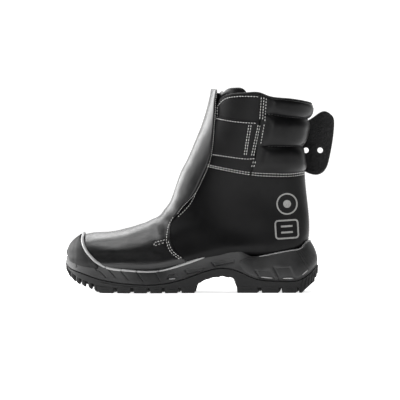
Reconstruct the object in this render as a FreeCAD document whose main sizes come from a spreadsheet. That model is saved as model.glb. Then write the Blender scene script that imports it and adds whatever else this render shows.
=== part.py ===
import FreeCAD, Part
import math
import os
from FreeCAD import Placement, Rotation, Vector

# A left fire and heat protection boot, EU size 42. The toe points to -X, the outer (lateral) side of the
# foot faces -Y, +Z is up and the tread stands on Z = 0. All sizes are millimetres.

doc = FreeCAD.newDocument("fire_boot")

# ---------------------------------------------------------------- driving dimensions
sheet = doc.addObject("Spreadsheet::Sheet", "Dims")
DIMS = [
    ("blank_height", 80.0, "height of the blanks that sole parts are cut from"),
    ("cut_span", 200.0, "width of every side-view cutter"),
    ("tread_depth", 5.0, "depth of the tread grooves"),
    ("groove_width", 4.0, "width of a tread groove"),
    ("fore_pitch", 18.6, "pitch of the forefoot lugs"),
    ("fore_first", -102.5, "front edge of the first forefoot groove"),
    ("heel_pitch", 22.0, "pitch of the heel lugs"),
    ("heel_first", 68.0, "front edge of the first heel groove"),
    ("spine_width", 5.0, "width of the lengthwise tread groove"),
    ("leather", 2.2, "thickness of the upper leather"),
    ("middle_layer", 2.2, "toe cap, heel counter and interlining"),
    ("lining", 1.6, "thickness of the lining"),
    ("roll_proud", 4.0, "how far the collar rolls stand out"),
    ("roll_cover", 1.4, "thickness of the collar's cover leather"),
    ("shield_gap", 0.3, "gap under the front shield"),
    ("shield_leather", 2.1, "thickness of the front shield"),
    ("loop_tape", 1.0, "thickness of the loop tapes under the shield's edges"),
    ("hook_tape", 0.9, "thickness of the hook tapes on the shield"),
    ("bumper_rubber", 3.0, "thickness of the toe bumper"),
    ("insert", 3.0, "thickness of the textile penetration insert"),
    ("board", 3.5, "thickness of the insole board"),
    ("footbed_foam", 5.0, "thickness of the removable footbed"),
    ("tongue_foam", 7.0, "thickness of the tongue's padding"),
    ("binding", 2.2, "height of the binding along the top edge"),
    ("binding_proud", 1.3, "how far the binding stands out from the panels"),
    ("shank_width", 24.0, "width of the shank"),
    ("shank_thick", 2.0, "thickness of the shank"),
    ("patch", 2.0, "thickness of the strap band sewn round the shaft"),
    ("strap_thick", 2.4, "thickness of the closure strap and its pull ear"),
    ("strap_low", 158.0, "height of the strap's lower edge"),
    ("strap_high", 204.0, "height of the strap's upper edge"),
    ("hook_depth", 1.0, "thickness of the hook tape on the strap"),
    ("hole_radius", 3.3, "radius of the holes in the pull ear"),
    ("hole_place", 144.7, "distance of the rear hole behind the origin"),
    ("hole_spacing", 17.0, "distance between the two holes"),
    ("hole_height", 170.4, "height of the holes above the ground"),
    ("drill_length", 40.0, "length of the drill that makes a hole"),
    ("strap_blank_foot", 130.0, "height where the blank of the strap and ear starts"),
    ("strap_blank_height", 96.0, "height of that blank"),
    ("shank_clear", 0.8, "leather left between the shank and the foot form"),
]
for row, (alias, value, note) in enumerate(DIMS, start=1):
    sheet.set(f"A{row}", alias)
    sheet.set(f"B{row}", str(value))
    sheet.set(f"C{row}", note)
    sheet.setAlias(f"B{row}", alias)
doc.recompute()


def dim(alias):
    return float(getattr(sheet, alias))


# ---------------------------------------------------------------- outlines
# The sole's outline in plan (x, y), from the toe tip along the outer side to the heel and back along the
# inner side.
SOLE_PLAN = [(-162, 5), (-158, -12), (-148, -29), (-130, -43), (-104, -52.6), (-70, -56), (-35, -51), (0, -44),
             (35, -40.5), (70, -41), (98, -41.5), (120, -36), (134, -21), (140.5, 0), (134, 21), (120, 35),
             (98, 40.5), (70, 39.5), (35, 36), (0, 38), (-35, 46), (-68, 53.6), (-96, 56), (-124, 50.5),
             (-146, 38), (-158, 22)]
# Edges in the side view (x, z), from front to back or from bottom to top.
TREAD_LINE = [(-164, 38), (-156, 29), (-145, 24.6), (-125.6, 18.1), (-104, 13.3), (-72, 10.2), (-54, 10.2),
              (-23, 15.7), (0, 23.8), (27.7, 29.4), (46, 25.2), (67, 16.4), (94, 14.2), (112, 14.2),
              (125.5, 19.2), (142, 35)]
RIM_LINE = [(-164, 44), (-150, 42), (-134, 40), (-120, 35.3), (-112, 31.6), (-93.5, 28.3), (-75.7, 26.8),
            (-50, 26.8), (-17, 36), (9, 44.4), (30, 50.4), (38.4, 51.4), (46, 49.2), (59.5, 43.5),
            (76.8, 45.1), (94, 48.6), (115, 51.5), (128.4, 55.4), (134, 60.6), (142, 62)]
TOE_SPRING = [(-164, 34), (-157, 20), (-146, 10), (-131, 4.4), (-118, 0), (-112, -3)]
HEEL_BEVEL = [(118, -3), (121, 0), (127, 6.6), (134, 11.3), (139, 18), (142, 28)]
ARCH_GAP = [(-5, -1), (-3, 10), (6, 15), (20, 18.5), (34, 16), (41.5, 10), (43, -1)]
FORM_BOTTOM = [(-160, 48), (-150, 35), (-136, 30), (-112, 25.5), (-82, 22.5), (-45, 24), (0, 33), (45, 40),
               (92, 40.5), (123, 48), (134, 60)]
BUMPER_EDGE = [(-117, 22), (-121, 33), (-128, 41.5), (-134, 48), (-138.5, 55.7), (-141, 63.6), (-137.5, 73),
               (-136, 78)]
HEEL_PART_EDGE = [(144, 17), (134, 30), (126, 40), (116, 52), (110, 59)]
VAMP_EDGE = [(-12, 30), (-21, 42), (-28, 48), (-33.8, 60), (-36, 74.4), (-34, 86.9)]
CREASE_EDGE = [(-36, 77), (-34, 86.9), (-28.3, 94.2), (-20, 106)]
SHIELD_EDGE = [(-20, 106), (-9.1, 118), (-0.8, 133.7), (7.4, 152.4), (12.7, 176.4), (14.5, 194.4), (16, 212.4),
               (16.9, 230.4), (18.1, 241)]
TONGUE_EDGE = [(-40, 92.9), (-28, 106), (-19, 118), (-10.5, 133.7), (-2, 152.4), (6, 176.4), (11, 194.4),
               (15, 212.4), (18, 230.4), (19.5, 238)]
COLLAR_SEAM = [(-30, 158), (-6, 154), (4.3, 151.2), (21, 147), (51, 142.2), (66.7, 140), (95.5, 138.4),
               (120.7, 140.4), (142, 145)]
COLLAR_FRONT = [(59, 134), (64.3, 162), (69, 194.4), (73.3, 244)]
ROLL_CHANNELS = [[(55, 213.5), (79.3, 212), (100, 208.7), (124, 207.2), (142, 206.5)],
                 [(55, 173.5), (100, 173.5), (142, 173.5)]]
TOP_LINE = [(12, 214), (21, 222), (26, 231.6), (36.7, 235.2), (54.7, 236.4), (71.5, 235.6), (77.5, 233),
            (101.5, 229.2), (130.3, 225.6), (146, 224)]
TAPE_FRONT = [(-24, 113), (-16, 122), (-9, 133.7), (-1, 149)]
TAPE_BACK = [(2.6, 147), (-4, 132), (-12, 119), (-17.5, 112)]
CAP_EDGE = [(-97, -10), (-95, 60), (-93, 100)]
COUNTER_EDGE = [(66, 30), (70, 60), (86, 84), (110, 96), (140, 100)]
SOCK_EDGE = [(-34, -10), (-36, 60), (-60, 130)]
BINDING_START = [(24, 200), (24, 250)]
PAD_CORNERS = [(50, 165), (12, 122), (-60, 122), (-60, 224)]
PAD_TOP = [(8, 224), (14, 234), (20, 240), (27, 243.3), (38, 244.2), (48, 243.2), (54, 239.5), (56.5, 234)]
STRAP_LOW_EDGE = [(-20, 164), (10.2, 162.6), (39, 158), (61.9, 157.3)]
STRAP_CORNERS = [(68.2, 202.9), (42.5, 205.5), (16.6, 210), (-20, 212)]
EAR_EDGE = [(114, 204), (122, 205), (130.9, 207.2), (145.4, 216.6), (150.2, 217.9), (157, 214.8),
            (161.3, 209.3), (162, 203.9), (159.8, 180.4), (155.8, 159.7), (152.3, 148.8), (146.8, 142.6),
            (140.6, 140.4), (134.4, 141.2), (126.7, 144.5), (119, 152), (114, 158)]
# The inner face of the strap in plan (x, y), at the height of the strap's lower edge.
STRAP_PLAN = [(24, 36.3), (32, 39.2), (40, 41.6), (50, 43.8), (58, 45.6), (66, 47.4), (74, 47.9), (82, 47.8),
              (90, 47.1), (98, 45.6), (114, 41.6), (130, 37.6), (146, 33.6), (162, 29.6)]
STRAP_LEAN = 0.085
STRAP_STEPS = 24
# Where the strap's arm starts and where the pull ear takes over, and the hook and loop patch between them
# (x, z).
ARM_START, ARM_END = 24, 114
PATCH_LOW, PATCH_HIGH = (76, 163), (101, 199)
# Where the front shield folds, and the slope of the two edges of the leather that folds with it.
CREASE_LOW, CREASE_HIGH = (-34, 86.9), (-20, 106)
LOW_SLOPE, HIGH_SLOPE = -1.0, -0.591
FAR_FRONT = -100.0
TONGUE_TUCK = 4.0


# ---------------------------------------------------------------- the foot form
# Each station is one oval section: its front or top point and its back or bottom point in the side view, then
# how far it reaches to the outer side and to the inner side, and how much wider it is towards its back.
STATIONS = [
    ((-157.6, 50), (-157.6, 44.5), 3, 12, 0.0),
    ((-155, 55), (-155.5, 40), -10, 22, 0.0),
    ((-147, 63.5), (-150, 35), -25, 33, 0.1),
    ((-133, 69), (-136, 30), -37.5, 42.5, 0.16),
    ((-110, 71), (-112, 25.5), -46.5, 49, 0.18),
    ((-82, 76.8), (-82, 22.5), -50.5, 49.5, 0.2),
    ((-56, 86.4), (-45, 24), -48, 45, 0.22),
    ((-38.5, 99.5), (0, 33), -43.5, 40.5, 0.2),
    ((-30, 111), (45, 40), -40.5, 38.5, 0.14),
    ((-22.5, 124), (92, 40.5), -38.5, 38, 0.08),
    ((-16, 139), (124, 48.5), -38, 38, 0.03),
    ((-8.5, 154), (131, 76), -38.5, 38.5, 0.0),
    ((0, 175), (128.5, 110), -41, 41, 0.0),
    ((8.6, 198), (126, 142), -44, 44, 0.0),
    ((14.1, 222), (128, 185), -47, 47, 0.0),
    ((17.1, 246), (133, 226), -49, 49, 0.0),
    ((18, 262), (135, 250), -50, 50, 0.0),
]
SECTION_POINTS = 20
# Exponents of the ovals: round at the front, squarer at the back and nearly round at the sides.
ROUND_END = 2.0
FLAT_END = 2.7
SIDE_ROUND = 2.15
# The first stations move back as the form shrinks, and the tip's own oval shrinks no further than this.
TOE_STATIONS = 4
TIP_INSET = 2.0


def oval(station, inset, shift):
    """The closed curve of one station, shrunk by inset all round and moved back by shift."""
    front, back, outer, inner, swell = station
    start = Vector(front[0] + shift, 0, front[1])
    end = Vector(back[0] + shift, 0, back[1])
    along = (end - start).normalize()
    start, end = start + along * inset, end - along * inset
    middle = (start + end) * 0.5
    reach = (end - start).Length / 2
    centre = (outer + inner) / 2
    half = (inner - outer) / 2 - inset
    points = []
    for step in range(SECTION_POINTS):
        angle = 2 * math.pi * step / SECTION_POINTS
        c, s = math.cos(angle), math.sin(angle)
        power = 2 / (ROUND_END if c > 0 else FLAT_END)
        lengthwise = -math.copysign(abs(c) ** power, c)
        across = math.copysign(abs(s) ** (2 / SIDE_ROUND), s) * (1 + swell * lengthwise)
        points.append(middle + along * (reach * lengthwise) + Vector(0, centre + half * across, 0))
    curve = Part.BSplineCurve()
    knots = [step / SECTION_POINTS for step in range(SECTION_POINTS + 1)]
    curve.interpolate(Points=points, PeriodicFlag=True, Parameters=knots)
    return Part.Wire([curve.toShape()])


def surface(inset, first=0):
    """The boot form as a solid, its surface moved inwards by inset, or outwards if it is negative."""
    wires = []
    for number, station in enumerate(STATIONS):
        closeness = max(0.0, 1 - number / TOE_STATIONS)
        small = number == 0 and inset > 0
        wires.append(oval(station, min(inset, TIP_INSET) if small else inset, inset * closeness))
    return Part.makeLoft(wires[first:], True, False)


def form(name, inset):
    solid = doc.addObject("Part::Feature", name)
    solid.Shape = surface(inset)
    return solid


def layer(name, outer, inner, first=0):
    """A hollow solid: what lies between two such surfaces, outer and inner being their insets."""
    cavity = surface(inner, first).Shells[0]
    cavity.reverse()
    solid = doc.addObject("Part::Feature", name)
    solid.Shape = Part.makeSolid(Part.makeCompound([surface(outer, first).Shells[0], cavity]))
    return solid


# ---------------------------------------------------------------- side-view cutters
BIG = 400.0


def spline(points):
    curve = Part.BSplineCurve()
    curve.interpolate(Points=[Vector(x, z, 0) for x, z in points])
    return curve


def side_sketch(name, edge, corners):
    """A sketch in the XZ plane, closed by a smooth edge through the edge points and straight lines."""
    sketch = doc.addObject("Sketcher::SketchObject", name)
    sketch.Placement = Placement(Vector(0, 0, 0), Rotation(Vector(1, 0, 0), 90))
    sketch.addGeometry(spline(edge), False)
    loop = [edge[-1], *corners, edge[0]]
    for (xa, za), (xb, zb) in zip(loop, loop[1:]):
        sketch.addGeometry(Part.LineSegment(Vector(xa, za, 0), Vector(xb, zb, 0)), False)
    return sketch


def cutter(name, edge, corners, side=0):
    """The sketch drawn out across the boot: the whole width, or only the outer (-1) or inner (+1) side."""
    block = doc.addObject("Part::Extrusion", name)
    block.Base = side_sketch(name + "_sketch", edge, corners)
    block.DirMode = "Custom"
    block.Dir = Vector(0, 1, 0)
    block.Solid = True
    block.setExpression("LengthFwd", "Dims.cut_span * %g" % (0.5 if side >= 0 else 0.0))
    block.setExpression("LengthRev", "Dims.cut_span * %g" % (0.5 if side <= 0 else 0.0))
    return block


def common(name, base, *tools):
    """What base and all the tools share."""
    made = base
    for number, tool in enumerate(tools, start=1):
        inner = made
        made = doc.addObject("Part::Common", name if number == len(tools) else "%s_in_%d" % (name, number))
        made.Base, made.Tool = inner, tool
        made.Refine = False
    return made


def cut(name, base, tool):
    made = doc.addObject("Part::Cut", name)
    made.Base, made.Tool = base, tool
    made.Refine = False
    return made


def fuse(name, *shapes):
    made = doc.addObject("Part::MultiFuse", name)
    made.Shapes = list(shapes)
    made.Refine = False
    return made


def moved(points, dx=0.0, dz=0.0):
    return [(x + dx, z + dz) for x, z in points]


def split(inside, outside, base, tool):
    """The piece of base inside the tool, and what is left of it."""
    return common(inside, base, tool), cut(outside, base, tool)


def above(name, edge):
    return cutter(name, edge, [(BIG, edge[-1][1]), (BIG, BIG), (-BIG, BIG), (-BIG, edge[0][1])])


def below(name, edge):
    return cutter(name, edge, [(BIG, edge[-1][1]), (BIG, -BIG), (-BIG, -BIG), (-BIG, edge[0][1])])


def in_front(name, edge):
    """Everything in front of an edge that runs from bottom to top."""
    return cutter(name, edge, [(edge[-1][0], BIG), (-BIG, BIG), (-BIG, -BIG), (edge[0][0], -BIG)])


def at_front(point, slope):
    """Where a line through the point meets the plane in front of the boot's instep."""
    return (FAR_FRONT, point[1] + slope * (FAR_FRONT - point[0]))


# ---------------------------------------------------------------- sole unit
def plane(body, role):
    return next(item for item in body.Origin.OriginFeatures if item.Role == role)


def attached_sketch(body, name, role):
    sketch = body.newObject("Sketcher::SketchObject", name)
    sketch.AttachmentSupport = (plane(body, role), "")
    sketch.MapMode = "FlatFace"
    return sketch


def add_loop(sketch, corners):
    for (xa, ya), (xb, yb) in zip(corners, corners[1:] + corners[:1]):
        sketch.addGeometry(Part.LineSegment(Vector(xa, ya, 0), Vector(xb, yb, 0)), False)


def plan_pad(body):
    """The blank of a sole part: the sole's outline in plan, padded up from the ground."""
    sketch = attached_sketch(body, body.Name + "_plan", "XY_Plane")
    outline = Part.BSplineCurve()
    outline.interpolate(Points=[Vector(x, y, 0) for x, y in SOLE_PLAN], PeriodicFlag=True)
    sketch.addGeometry(outline, False)
    pad = body.newObject("PartDesign::Pad", body.Name + "_blank")
    pad.Profile = sketch
    pad.setExpression("Length", "Dims.blank_height")
    return pad


def side_pocket(body, name, edge, corners):
    """Cuts away, across the whole width, what the edge and the corners enclose in the side view."""
    sketch = attached_sketch(body, name + "_sketch", "XZ_Plane")
    sketch.addGeometry(spline(edge), False)
    loop = [edge[-1], *corners, edge[0]]
    for (xa, za), (xb, zb) in zip(loop, loop[1:]):
        sketch.addGeometry(Part.LineSegment(Vector(xa, za, 0), Vector(xb, zb, 0)), False)
    return pocket(body, name, sketch)


def pocket(body, name, sketch):
    feature = body.newObject("PartDesign::Pocket", name)
    feature.Profile = sketch
    feature.SideType = "Symmetric"
    feature.setExpression("Length", "Dims.cut_span")
    return feature


def grooves(body, name, first, pitch, count):
    """Tread grooves across the sole, a pitch apart, the first with its front edge at the named size."""
    sketch = attached_sketch(body, name + "_sketch", "XZ_Plane")
    start = dim(first)
    end = start + dim("groove_width")
    add_loop(sketch, [(start, -2), (end, -2), (end, dim("tread_depth")), (start, dim("tread_depth"))])
    feature = pocket(body, name, sketch)
    pattern = body.newObject("PartDesign::LinearPattern", name + "_row")
    pattern.Originals = [feature]
    pattern.Direction = (sketch, ["H_Axis"])
    pattern.Mode = "Spacing"
    pattern.setExpression("Offset", "Dims." + pitch)
    pattern.Occurrences = count
    body.Tip = pattern
    return pattern


outsole = doc.addObject("PartDesign::Body", "outsole")
plan_pad(outsole)
side_pocket(outsole, "outsole_top", TREAD_LINE, [(BIG, TREAD_LINE[-1][1]), (BIG, BIG), (-BIG, BIG),
                                                 (-BIG, TREAD_LINE[0][1])])
side_pocket(outsole, "toe_spring", TOE_SPRING, [(-BIG, -3), (-BIG, TOE_SPRING[0][1])])
side_pocket(outsole, "heel_bevel", HEEL_BEVEL, [(BIG, HEEL_BEVEL[-1][1]), (BIG, -3)])
side_pocket(outsole, "arch_gap", ARCH_GAP, [])
grooves(outsole, "fore_grooves", "fore_first", "fore_pitch", 5)
grooves(outsole, "heel_grooves", "heel_first", "heel_pitch", 3)
spine_sketch = attached_sketch(outsole, "spine_sketch", "XY_Plane")
half_spine = dim("spine_width") / 2
add_loop(spine_sketch, [(-124, -half_spine), (-20, -half_spine), (-20, half_spine), (-124, half_spine)])
spine = outsole.newObject("PartDesign::Pocket", "spine")
spine.Profile = spine_sketch
spine.Reversed = True
spine.setExpression("Length", "Dims.tread_depth")

# The midsole fills the space from the outsole up to the rim, round the boot form and the shank.
blank = doc.addObject("PartDesign::Body", "midsole_blank")
plan_pad(blank)
side_pocket(blank, "midsole_bottom", TREAD_LINE, [(BIG, TREAD_LINE[-1][1]), (BIG, -BIG), (-BIG, -BIG),
                                                  (-BIG, TREAD_LINE[0][1])])
side_pocket(blank, "midsole_rim", RIM_LINE, [(BIG, RIM_LINE[-1][1]), (BIG, BIG), (-BIG, BIG),
                                             (-BIG, RIM_LINE[0][1])])
shank_high = moved(FORM_BOTTOM[6:9], dz=-dim("shank_clear"))
shank_low = moved(shank_high, dz=-dim("shank_thick"))
shank = doc.addObject("PartDesign::Body", "shank")
shank_sketch = attached_sketch(shank, "shank_sketch", "XZ_Plane")
for line in (shank_low, shank_high):
    shank_sketch.addGeometry(spline(line), False)
for low, high in ((shank_low[0], shank_high[0]), (shank_low[-1], shank_high[-1])):
    shank_sketch.addGeometry(Part.LineSegment(Vector(*low, 0), Vector(*high, 0)), False)
shank_pad = shank.newObject("PartDesign::Pad", "shank_strip")
shank_pad.Profile = shank_sketch
shank_pad.SideType = "Symmetric"
shank_pad.setExpression("Length", "Dims.shank_width")

# ---------------------------------------------------------------- layers of the boot form
leather = dim("leather")
under = leather + dim("middle_layer")
inside = under + dim("lining")
gap = dim("shield_gap")
patch = dim("patch")
proud = patch + gap
skin = form("form_skin", 0.0)
foot = form("form_foot", inside)
l_leather = layer("l_leather", 0.0, leather)
l_middle = layer("l_middle", leather, under)
l_lining = layer("l_lining", under, inside)
l_tongue = layer("l_tongue", 0.0, under)
l_pad = layer("l_pad", inside + gap, inside + dim("tongue_foam"), first=8)
l_strap = layer("l_strap", -patch, 0.0)
l_loop = layer("l_loop", -dim("loop_tape"), 0.0)
l_hook = layer("l_hook", -proud, dim("hook_tape") - proud)
l_shield = layer("l_shield", -proud - dim("shield_leather"), -proud)
l_crease = layer("l_crease", -proud - dim("shield_leather"), 0.0)
l_cover = layer("l_cover", -dim("roll_proud"), dim("roll_cover") - dim("roll_proud"))
l_foam = layer("l_foam", dim("roll_cover") - dim("roll_proud"), under)
l_binding = layer("l_binding", -dim("binding_proud"), inside)
l_bumper = layer("l_bumper", -dim("bumper_rubber"), 0.0)

# ---------------------------------------------------------------- floor of the boot
stack = dim("insert") + dim("board")
over_insert = above("k_over_insert", moved(FORM_BOTTOM, dz=dim("insert")))
over_board = above("k_over_board", moved(FORM_BOTTOM, dz=stack))
over_bed = above("k_over_bed", moved(FORM_BOTTOM, dz=stack + dim("footbed_foam")))
insert = cut("penetration_insert", skin, over_insert)
board = cut("insole_board", common("c_board", skin, over_insert), over_board)
footbed = cut("footbed", common("c_bed", foot, over_board), over_bed)
sole_bed = cut("c_sole_bed", cut("c_round_form", blank, skin), shank)
midsole, heel_bumper = split("midsole", "heel_bumper", sole_bed, in_front("k_heel_part", HEEL_PART_EDGE))
over_rim = above("k_over_rim", RIM_LINE)
toe_bumper = common("toe_bumper", common("c_bumper", l_bumper, in_front("k_bumper", BUMPER_EDGE)), over_rim)
parts = [outsole, shank, midsole, heel_bumper, toe_bumper, insert, board, footbed]

# ---------------------------------------------------------------- upper
under_top = below("k_under_top", moved(TOP_LINE, dz=-dim("binding")))
crease_front = at_front(CREASE_LOW, LOW_SLOPE)
k_tongue = cutter("k_tongue", TONGUE_EDGE, [(FAR_FRONT, TONGUE_EDGE[-1][1]), crease_front])
tongue = common("tongue", l_tongue, k_tongue)
k_vamp = cutter("k_vamp", VAMP_EDGE, [crease_front, (-BIG, crease_front[1]), (-BIG, -BIG),
                                      (VAMP_EDGE[0][0], -BIG)])
k_tongue_deep = cutter("k_tongue_deep", TONGUE_EDGE, [(FAR_FRONT, TONGUE_EDGE[-1][1]),
                                                      (FAR_FRONT, crease_front[1] - TONGUE_TUCK)])
outer_leather = common("c_outer", l_leather, over_board, under_top)
vamp, behind_vamp = split("vamp", "c_behind_vamp", outer_leather, k_vamp)
open_front = cut("c_open_front", behind_vamp, k_tongue_deep)
over_seam = above("k_over_seam", COLLAR_SEAM)
in_front_of_collar = in_front("k_collar_front", COLLAR_FRONT)
collar_zone = cut("c_collar_zone", common("c_over_seam", over_seam, under_top), in_front_of_collar)
shaft, quarters = split("c_shaft", "c_quarters", open_front, over_seam)
panels = common("c_panels", shaft, in_front_of_collar)
for side, sign in (("lateral", -1), ("medial", 1)):
    half = cutter("k_half_" + side, [(-BIG, -BIG), (BIG, -BIG)], [(BIG, BIG), (-BIG, BIG)], sign)
    k_tape = cutter("k_tape_" + side, TAPE_FRONT, TAPE_BACK, sign)
    parts += [
        common("quarter_" + side, quarters, half),
        common("upper_panel_" + side, panels, half),
        common("shield_loop_tape_" + side, l_loop, k_tape),
        common("shield_hook_tape_" + side, l_hook, k_tape),
    ]
k_band = cutter("k_band", STRAP_LOW_EDGE, STRAP_CORNERS)
parts += [tongue, vamp, common("strap_band", l_strap, k_band)]

# stiffeners, linings, padding and binding
middle = cut("c_middle", common("c_middle_zone", l_middle, over_board, under_top), k_tongue)
toe_cap, behind_cap = split("toe_cap", "c_behind_cap", middle, in_front("k_cap", CAP_EDGE))
k_counter = cutter("k_counter", COUNTER_EDGE, [(BIG, COUNTER_EDGE[-1][1]), (BIG, COUNTER_EDGE[0][1])])
counter, softer = split("heel_counter", "c_softer", behind_cap, k_counter)
interlining = cut("interlining", softer, collar_zone)
sock = common("c_sock", l_lining, over_board, under_top)
vamp_lining, shaft_lining = split("vamp_lining", "shaft_lining", sock, in_front("k_sock", SOCK_EDGE))
tongue_pad = common("tongue_pad", l_pad, cutter("k_pad", PAD_TOP, PAD_CORNERS))
k_binding = cut("k_binding", below("k_under_binding", TOP_LINE), under_top)
k_binding_back = cut("k_binding_back", k_binding, in_front("k_binding_front", BINDING_START))
binding = common("top_binding", l_binding, k_binding_back)
parts += [toe_cap, counter, interlining, vamp_lining, shaft_lining, tongue_pad, binding]

# ---------------------------------------------------------------- padded collar
k_strap_loop = cutter("k_strap_loop", [PATCH_LOW, (PATCH_LOW[0], PATCH_HIGH[1])],
                      [PATCH_HIGH, (PATCH_HIGH[0], PATCH_LOW[1])], 1)
strap_loop, collar_cover = split("strap_loop_tape", "collar_cover", common("c_cover", l_cover, collar_zone),
                                 k_strap_loop)
foam = common("c_foam", l_foam, collar_zone)
foam_top, foam_rest = split("collar_foam_top", "c_foam_rest", foam, above("k_top_channel", ROLL_CHANNELS[0]))
foam_middle, foam_lower = split("collar_foam_middle", "collar_foam_lower", foam_rest,
                                above("k_low_channel", ROLL_CHANNELS[1]))
parts += [strap_loop, collar_cover, foam_top, foam_middle, foam_lower]

# ---------------------------------------------------------------- front shield
crease_far = [at_front(CREASE_HIGH, HIGH_SLOPE), at_front(CREASE_EDGE[0], LOW_SLOPE)]
crease = common("shield_crease", l_crease, cutter("k_crease", CREASE_EDGE, crease_far))
k_shield = cutter("k_shield", SHIELD_EDGE, [(FAR_FRONT, SHIELD_EDGE[-1][1]), crease_far[0]])
shield = common("front_shield", l_shield, k_shield)
parts += [crease, shield]


# ---------------------------------------------------------------- closure strap and pull ear
def band(name, start, end):
    """The strap's curve in plan, from one depth to another behind its inner face, drawn up along its lean."""
    drop = dim("strap_low") - dim("strap_blank_foot")
    curve = spline(STRAP_PLAN)
    first, last = curve.FirstParameter, curve.LastParameter
    sides = []
    for depth in (start, end):
        points = []
        for step in range(STRAP_STEPS + 1):
            place = first + (last - first) * step / STRAP_STEPS
            tangent = curve.tangent(place)[0]
            points.append(curve.value(place) + Vector(-tangent.y, tangent.x, 0) * depth)
        side = Part.BSplineCurve()
        side.interpolate(Points=points)
        sides.append(side)
    sketch = doc.addObject("Sketcher::SketchObject", name + "_sketch")
    sketch.Placement = Placement(Vector(0, -STRAP_LEAN * drop, dim("strap_low") - drop), Rotation())
    for side in sides:
        sketch.addGeometry(side, False)
    for ends in ("StartPoint", "EndPoint"):
        sketch.addGeometry(Part.LineSegment(getattr(sides[0], ends), getattr(sides[1], ends)), False)
    block = doc.addObject("Part::Extrusion", name)
    block.Base = sketch
    block.DirMode = "Custom"
    block.Dir = Vector(0, STRAP_LEAN, 1)
    block.Solid = True
    block.setExpression("LengthFwd", "Dims.strap_blank_height")
    return block


def hole(name, behind):
    """A drill square to the ear, which runs straight from the collar to its end."""
    (xa, ya), (xb, yb) = STRAP_PLAN[-3], STRAP_PLAN[-1]
    along = Vector(xb - xa, yb - ya, 0)
    square = along.cross(Vector(0, STRAP_LEAN, 1)).normalize() * -1
    drill = doc.addObject("Part::Cylinder", name)
    drill.setExpression("Radius", "Dims.hole_radius")
    drill.setExpression("Height", "Dims.drill_length")
    height = dim("hole_height")
    leaned = STRAP_LEAN * (height - dim("strap_low"))
    on_face = Vector(behind, ya + (behind - xa) * along.y / along.x + leaned, height)
    start = on_face + square * ((dim("strap_thick") - dim("drill_length")) / 2)
    drill.Placement = Placement(start, Rotation(Vector(0, 0, 1), square))
    return drill


whole_strap = band("c_strap", 0.0, dim("strap_thick"))
k_arm = cutter("k_arm", [(ARM_START, dim("strap_low")), (ARM_START, dim("strap_high"))],
               [(ARM_END, dim("strap_high")), (ARM_END, dim("strap_low"))], 1)
hook_band = common("c_hook_band", band("c_hook_depth", 0.0, dim("hook_depth")), k_strap_loop)
strap_hook = common("strap_hook_tape", hook_band, k_arm)
strap_arm = cut("strap_arm", common("c_arm", whole_strap, k_arm), strap_hook)
ear_plain = common("c_ear", whole_strap, cutter("k_ear", EAR_EDGE, [], 1))
front_place = dim("hole_place") - dim("hole_spacing")
holes = fuse("c_holes", hole("hole_rear", dim("hole_place")), hole("hole_front", front_place))
strap_ear = cut("strap_ear", ear_plain, holes)
parts += [strap_hook, strap_arm, strap_ear]

# ---------------------------------------------------------------- checks and files
for piece in parts:
    piece.Label = piece.Name
doc.recompute()
for item in doc.Objects:
    if "Invalid" in item.State or "Error" in item.State:
        raise SystemExit(item.Name + " failed")
os.makedirs("parts", exist_ok=True)
for piece in parts:
    if piece.Shape.isNull() or not piece.Shape.isValid() or piece.Shape.Volume <= 0:
        raise SystemExit(piece.Name + " has no valid solid")
for piece in parts:
    piece.Shape.exportStep("parts/" + piece.Label + ".step")
print(len(parts), "sub-parts written")
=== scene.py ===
import math
import bpy
import bmesh
import numpy as np
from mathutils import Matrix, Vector, geometry, noise


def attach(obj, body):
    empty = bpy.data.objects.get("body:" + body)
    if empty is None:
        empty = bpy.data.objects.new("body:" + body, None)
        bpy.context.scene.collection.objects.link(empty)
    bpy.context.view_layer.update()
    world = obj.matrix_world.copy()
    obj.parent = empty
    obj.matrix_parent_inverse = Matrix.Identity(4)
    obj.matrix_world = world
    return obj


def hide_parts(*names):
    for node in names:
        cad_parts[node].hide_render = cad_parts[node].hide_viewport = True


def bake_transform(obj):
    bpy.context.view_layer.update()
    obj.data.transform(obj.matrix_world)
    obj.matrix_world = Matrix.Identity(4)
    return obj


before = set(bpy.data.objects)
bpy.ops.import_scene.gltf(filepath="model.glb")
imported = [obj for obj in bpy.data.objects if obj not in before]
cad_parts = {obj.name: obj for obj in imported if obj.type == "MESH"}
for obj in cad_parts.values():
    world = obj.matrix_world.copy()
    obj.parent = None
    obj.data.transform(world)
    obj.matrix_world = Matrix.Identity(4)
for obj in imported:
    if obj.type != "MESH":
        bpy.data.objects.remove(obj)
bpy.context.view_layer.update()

# A left fire boot, toe to -X, outer (lateral) side to -Y. Lengths are millimetres until make() turns them
# into metres. The upper is laid out on the boot form: a runs round the leg from the front line (0) to the
# back line, negative on the lateral side, b runs up from the toe over the instep to the top, and h is the
# height over the form.
MM = 0.001
LATERAL, MEDIAL = -1, 1
SIDES = (LATERAL, MEDIAL)

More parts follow.
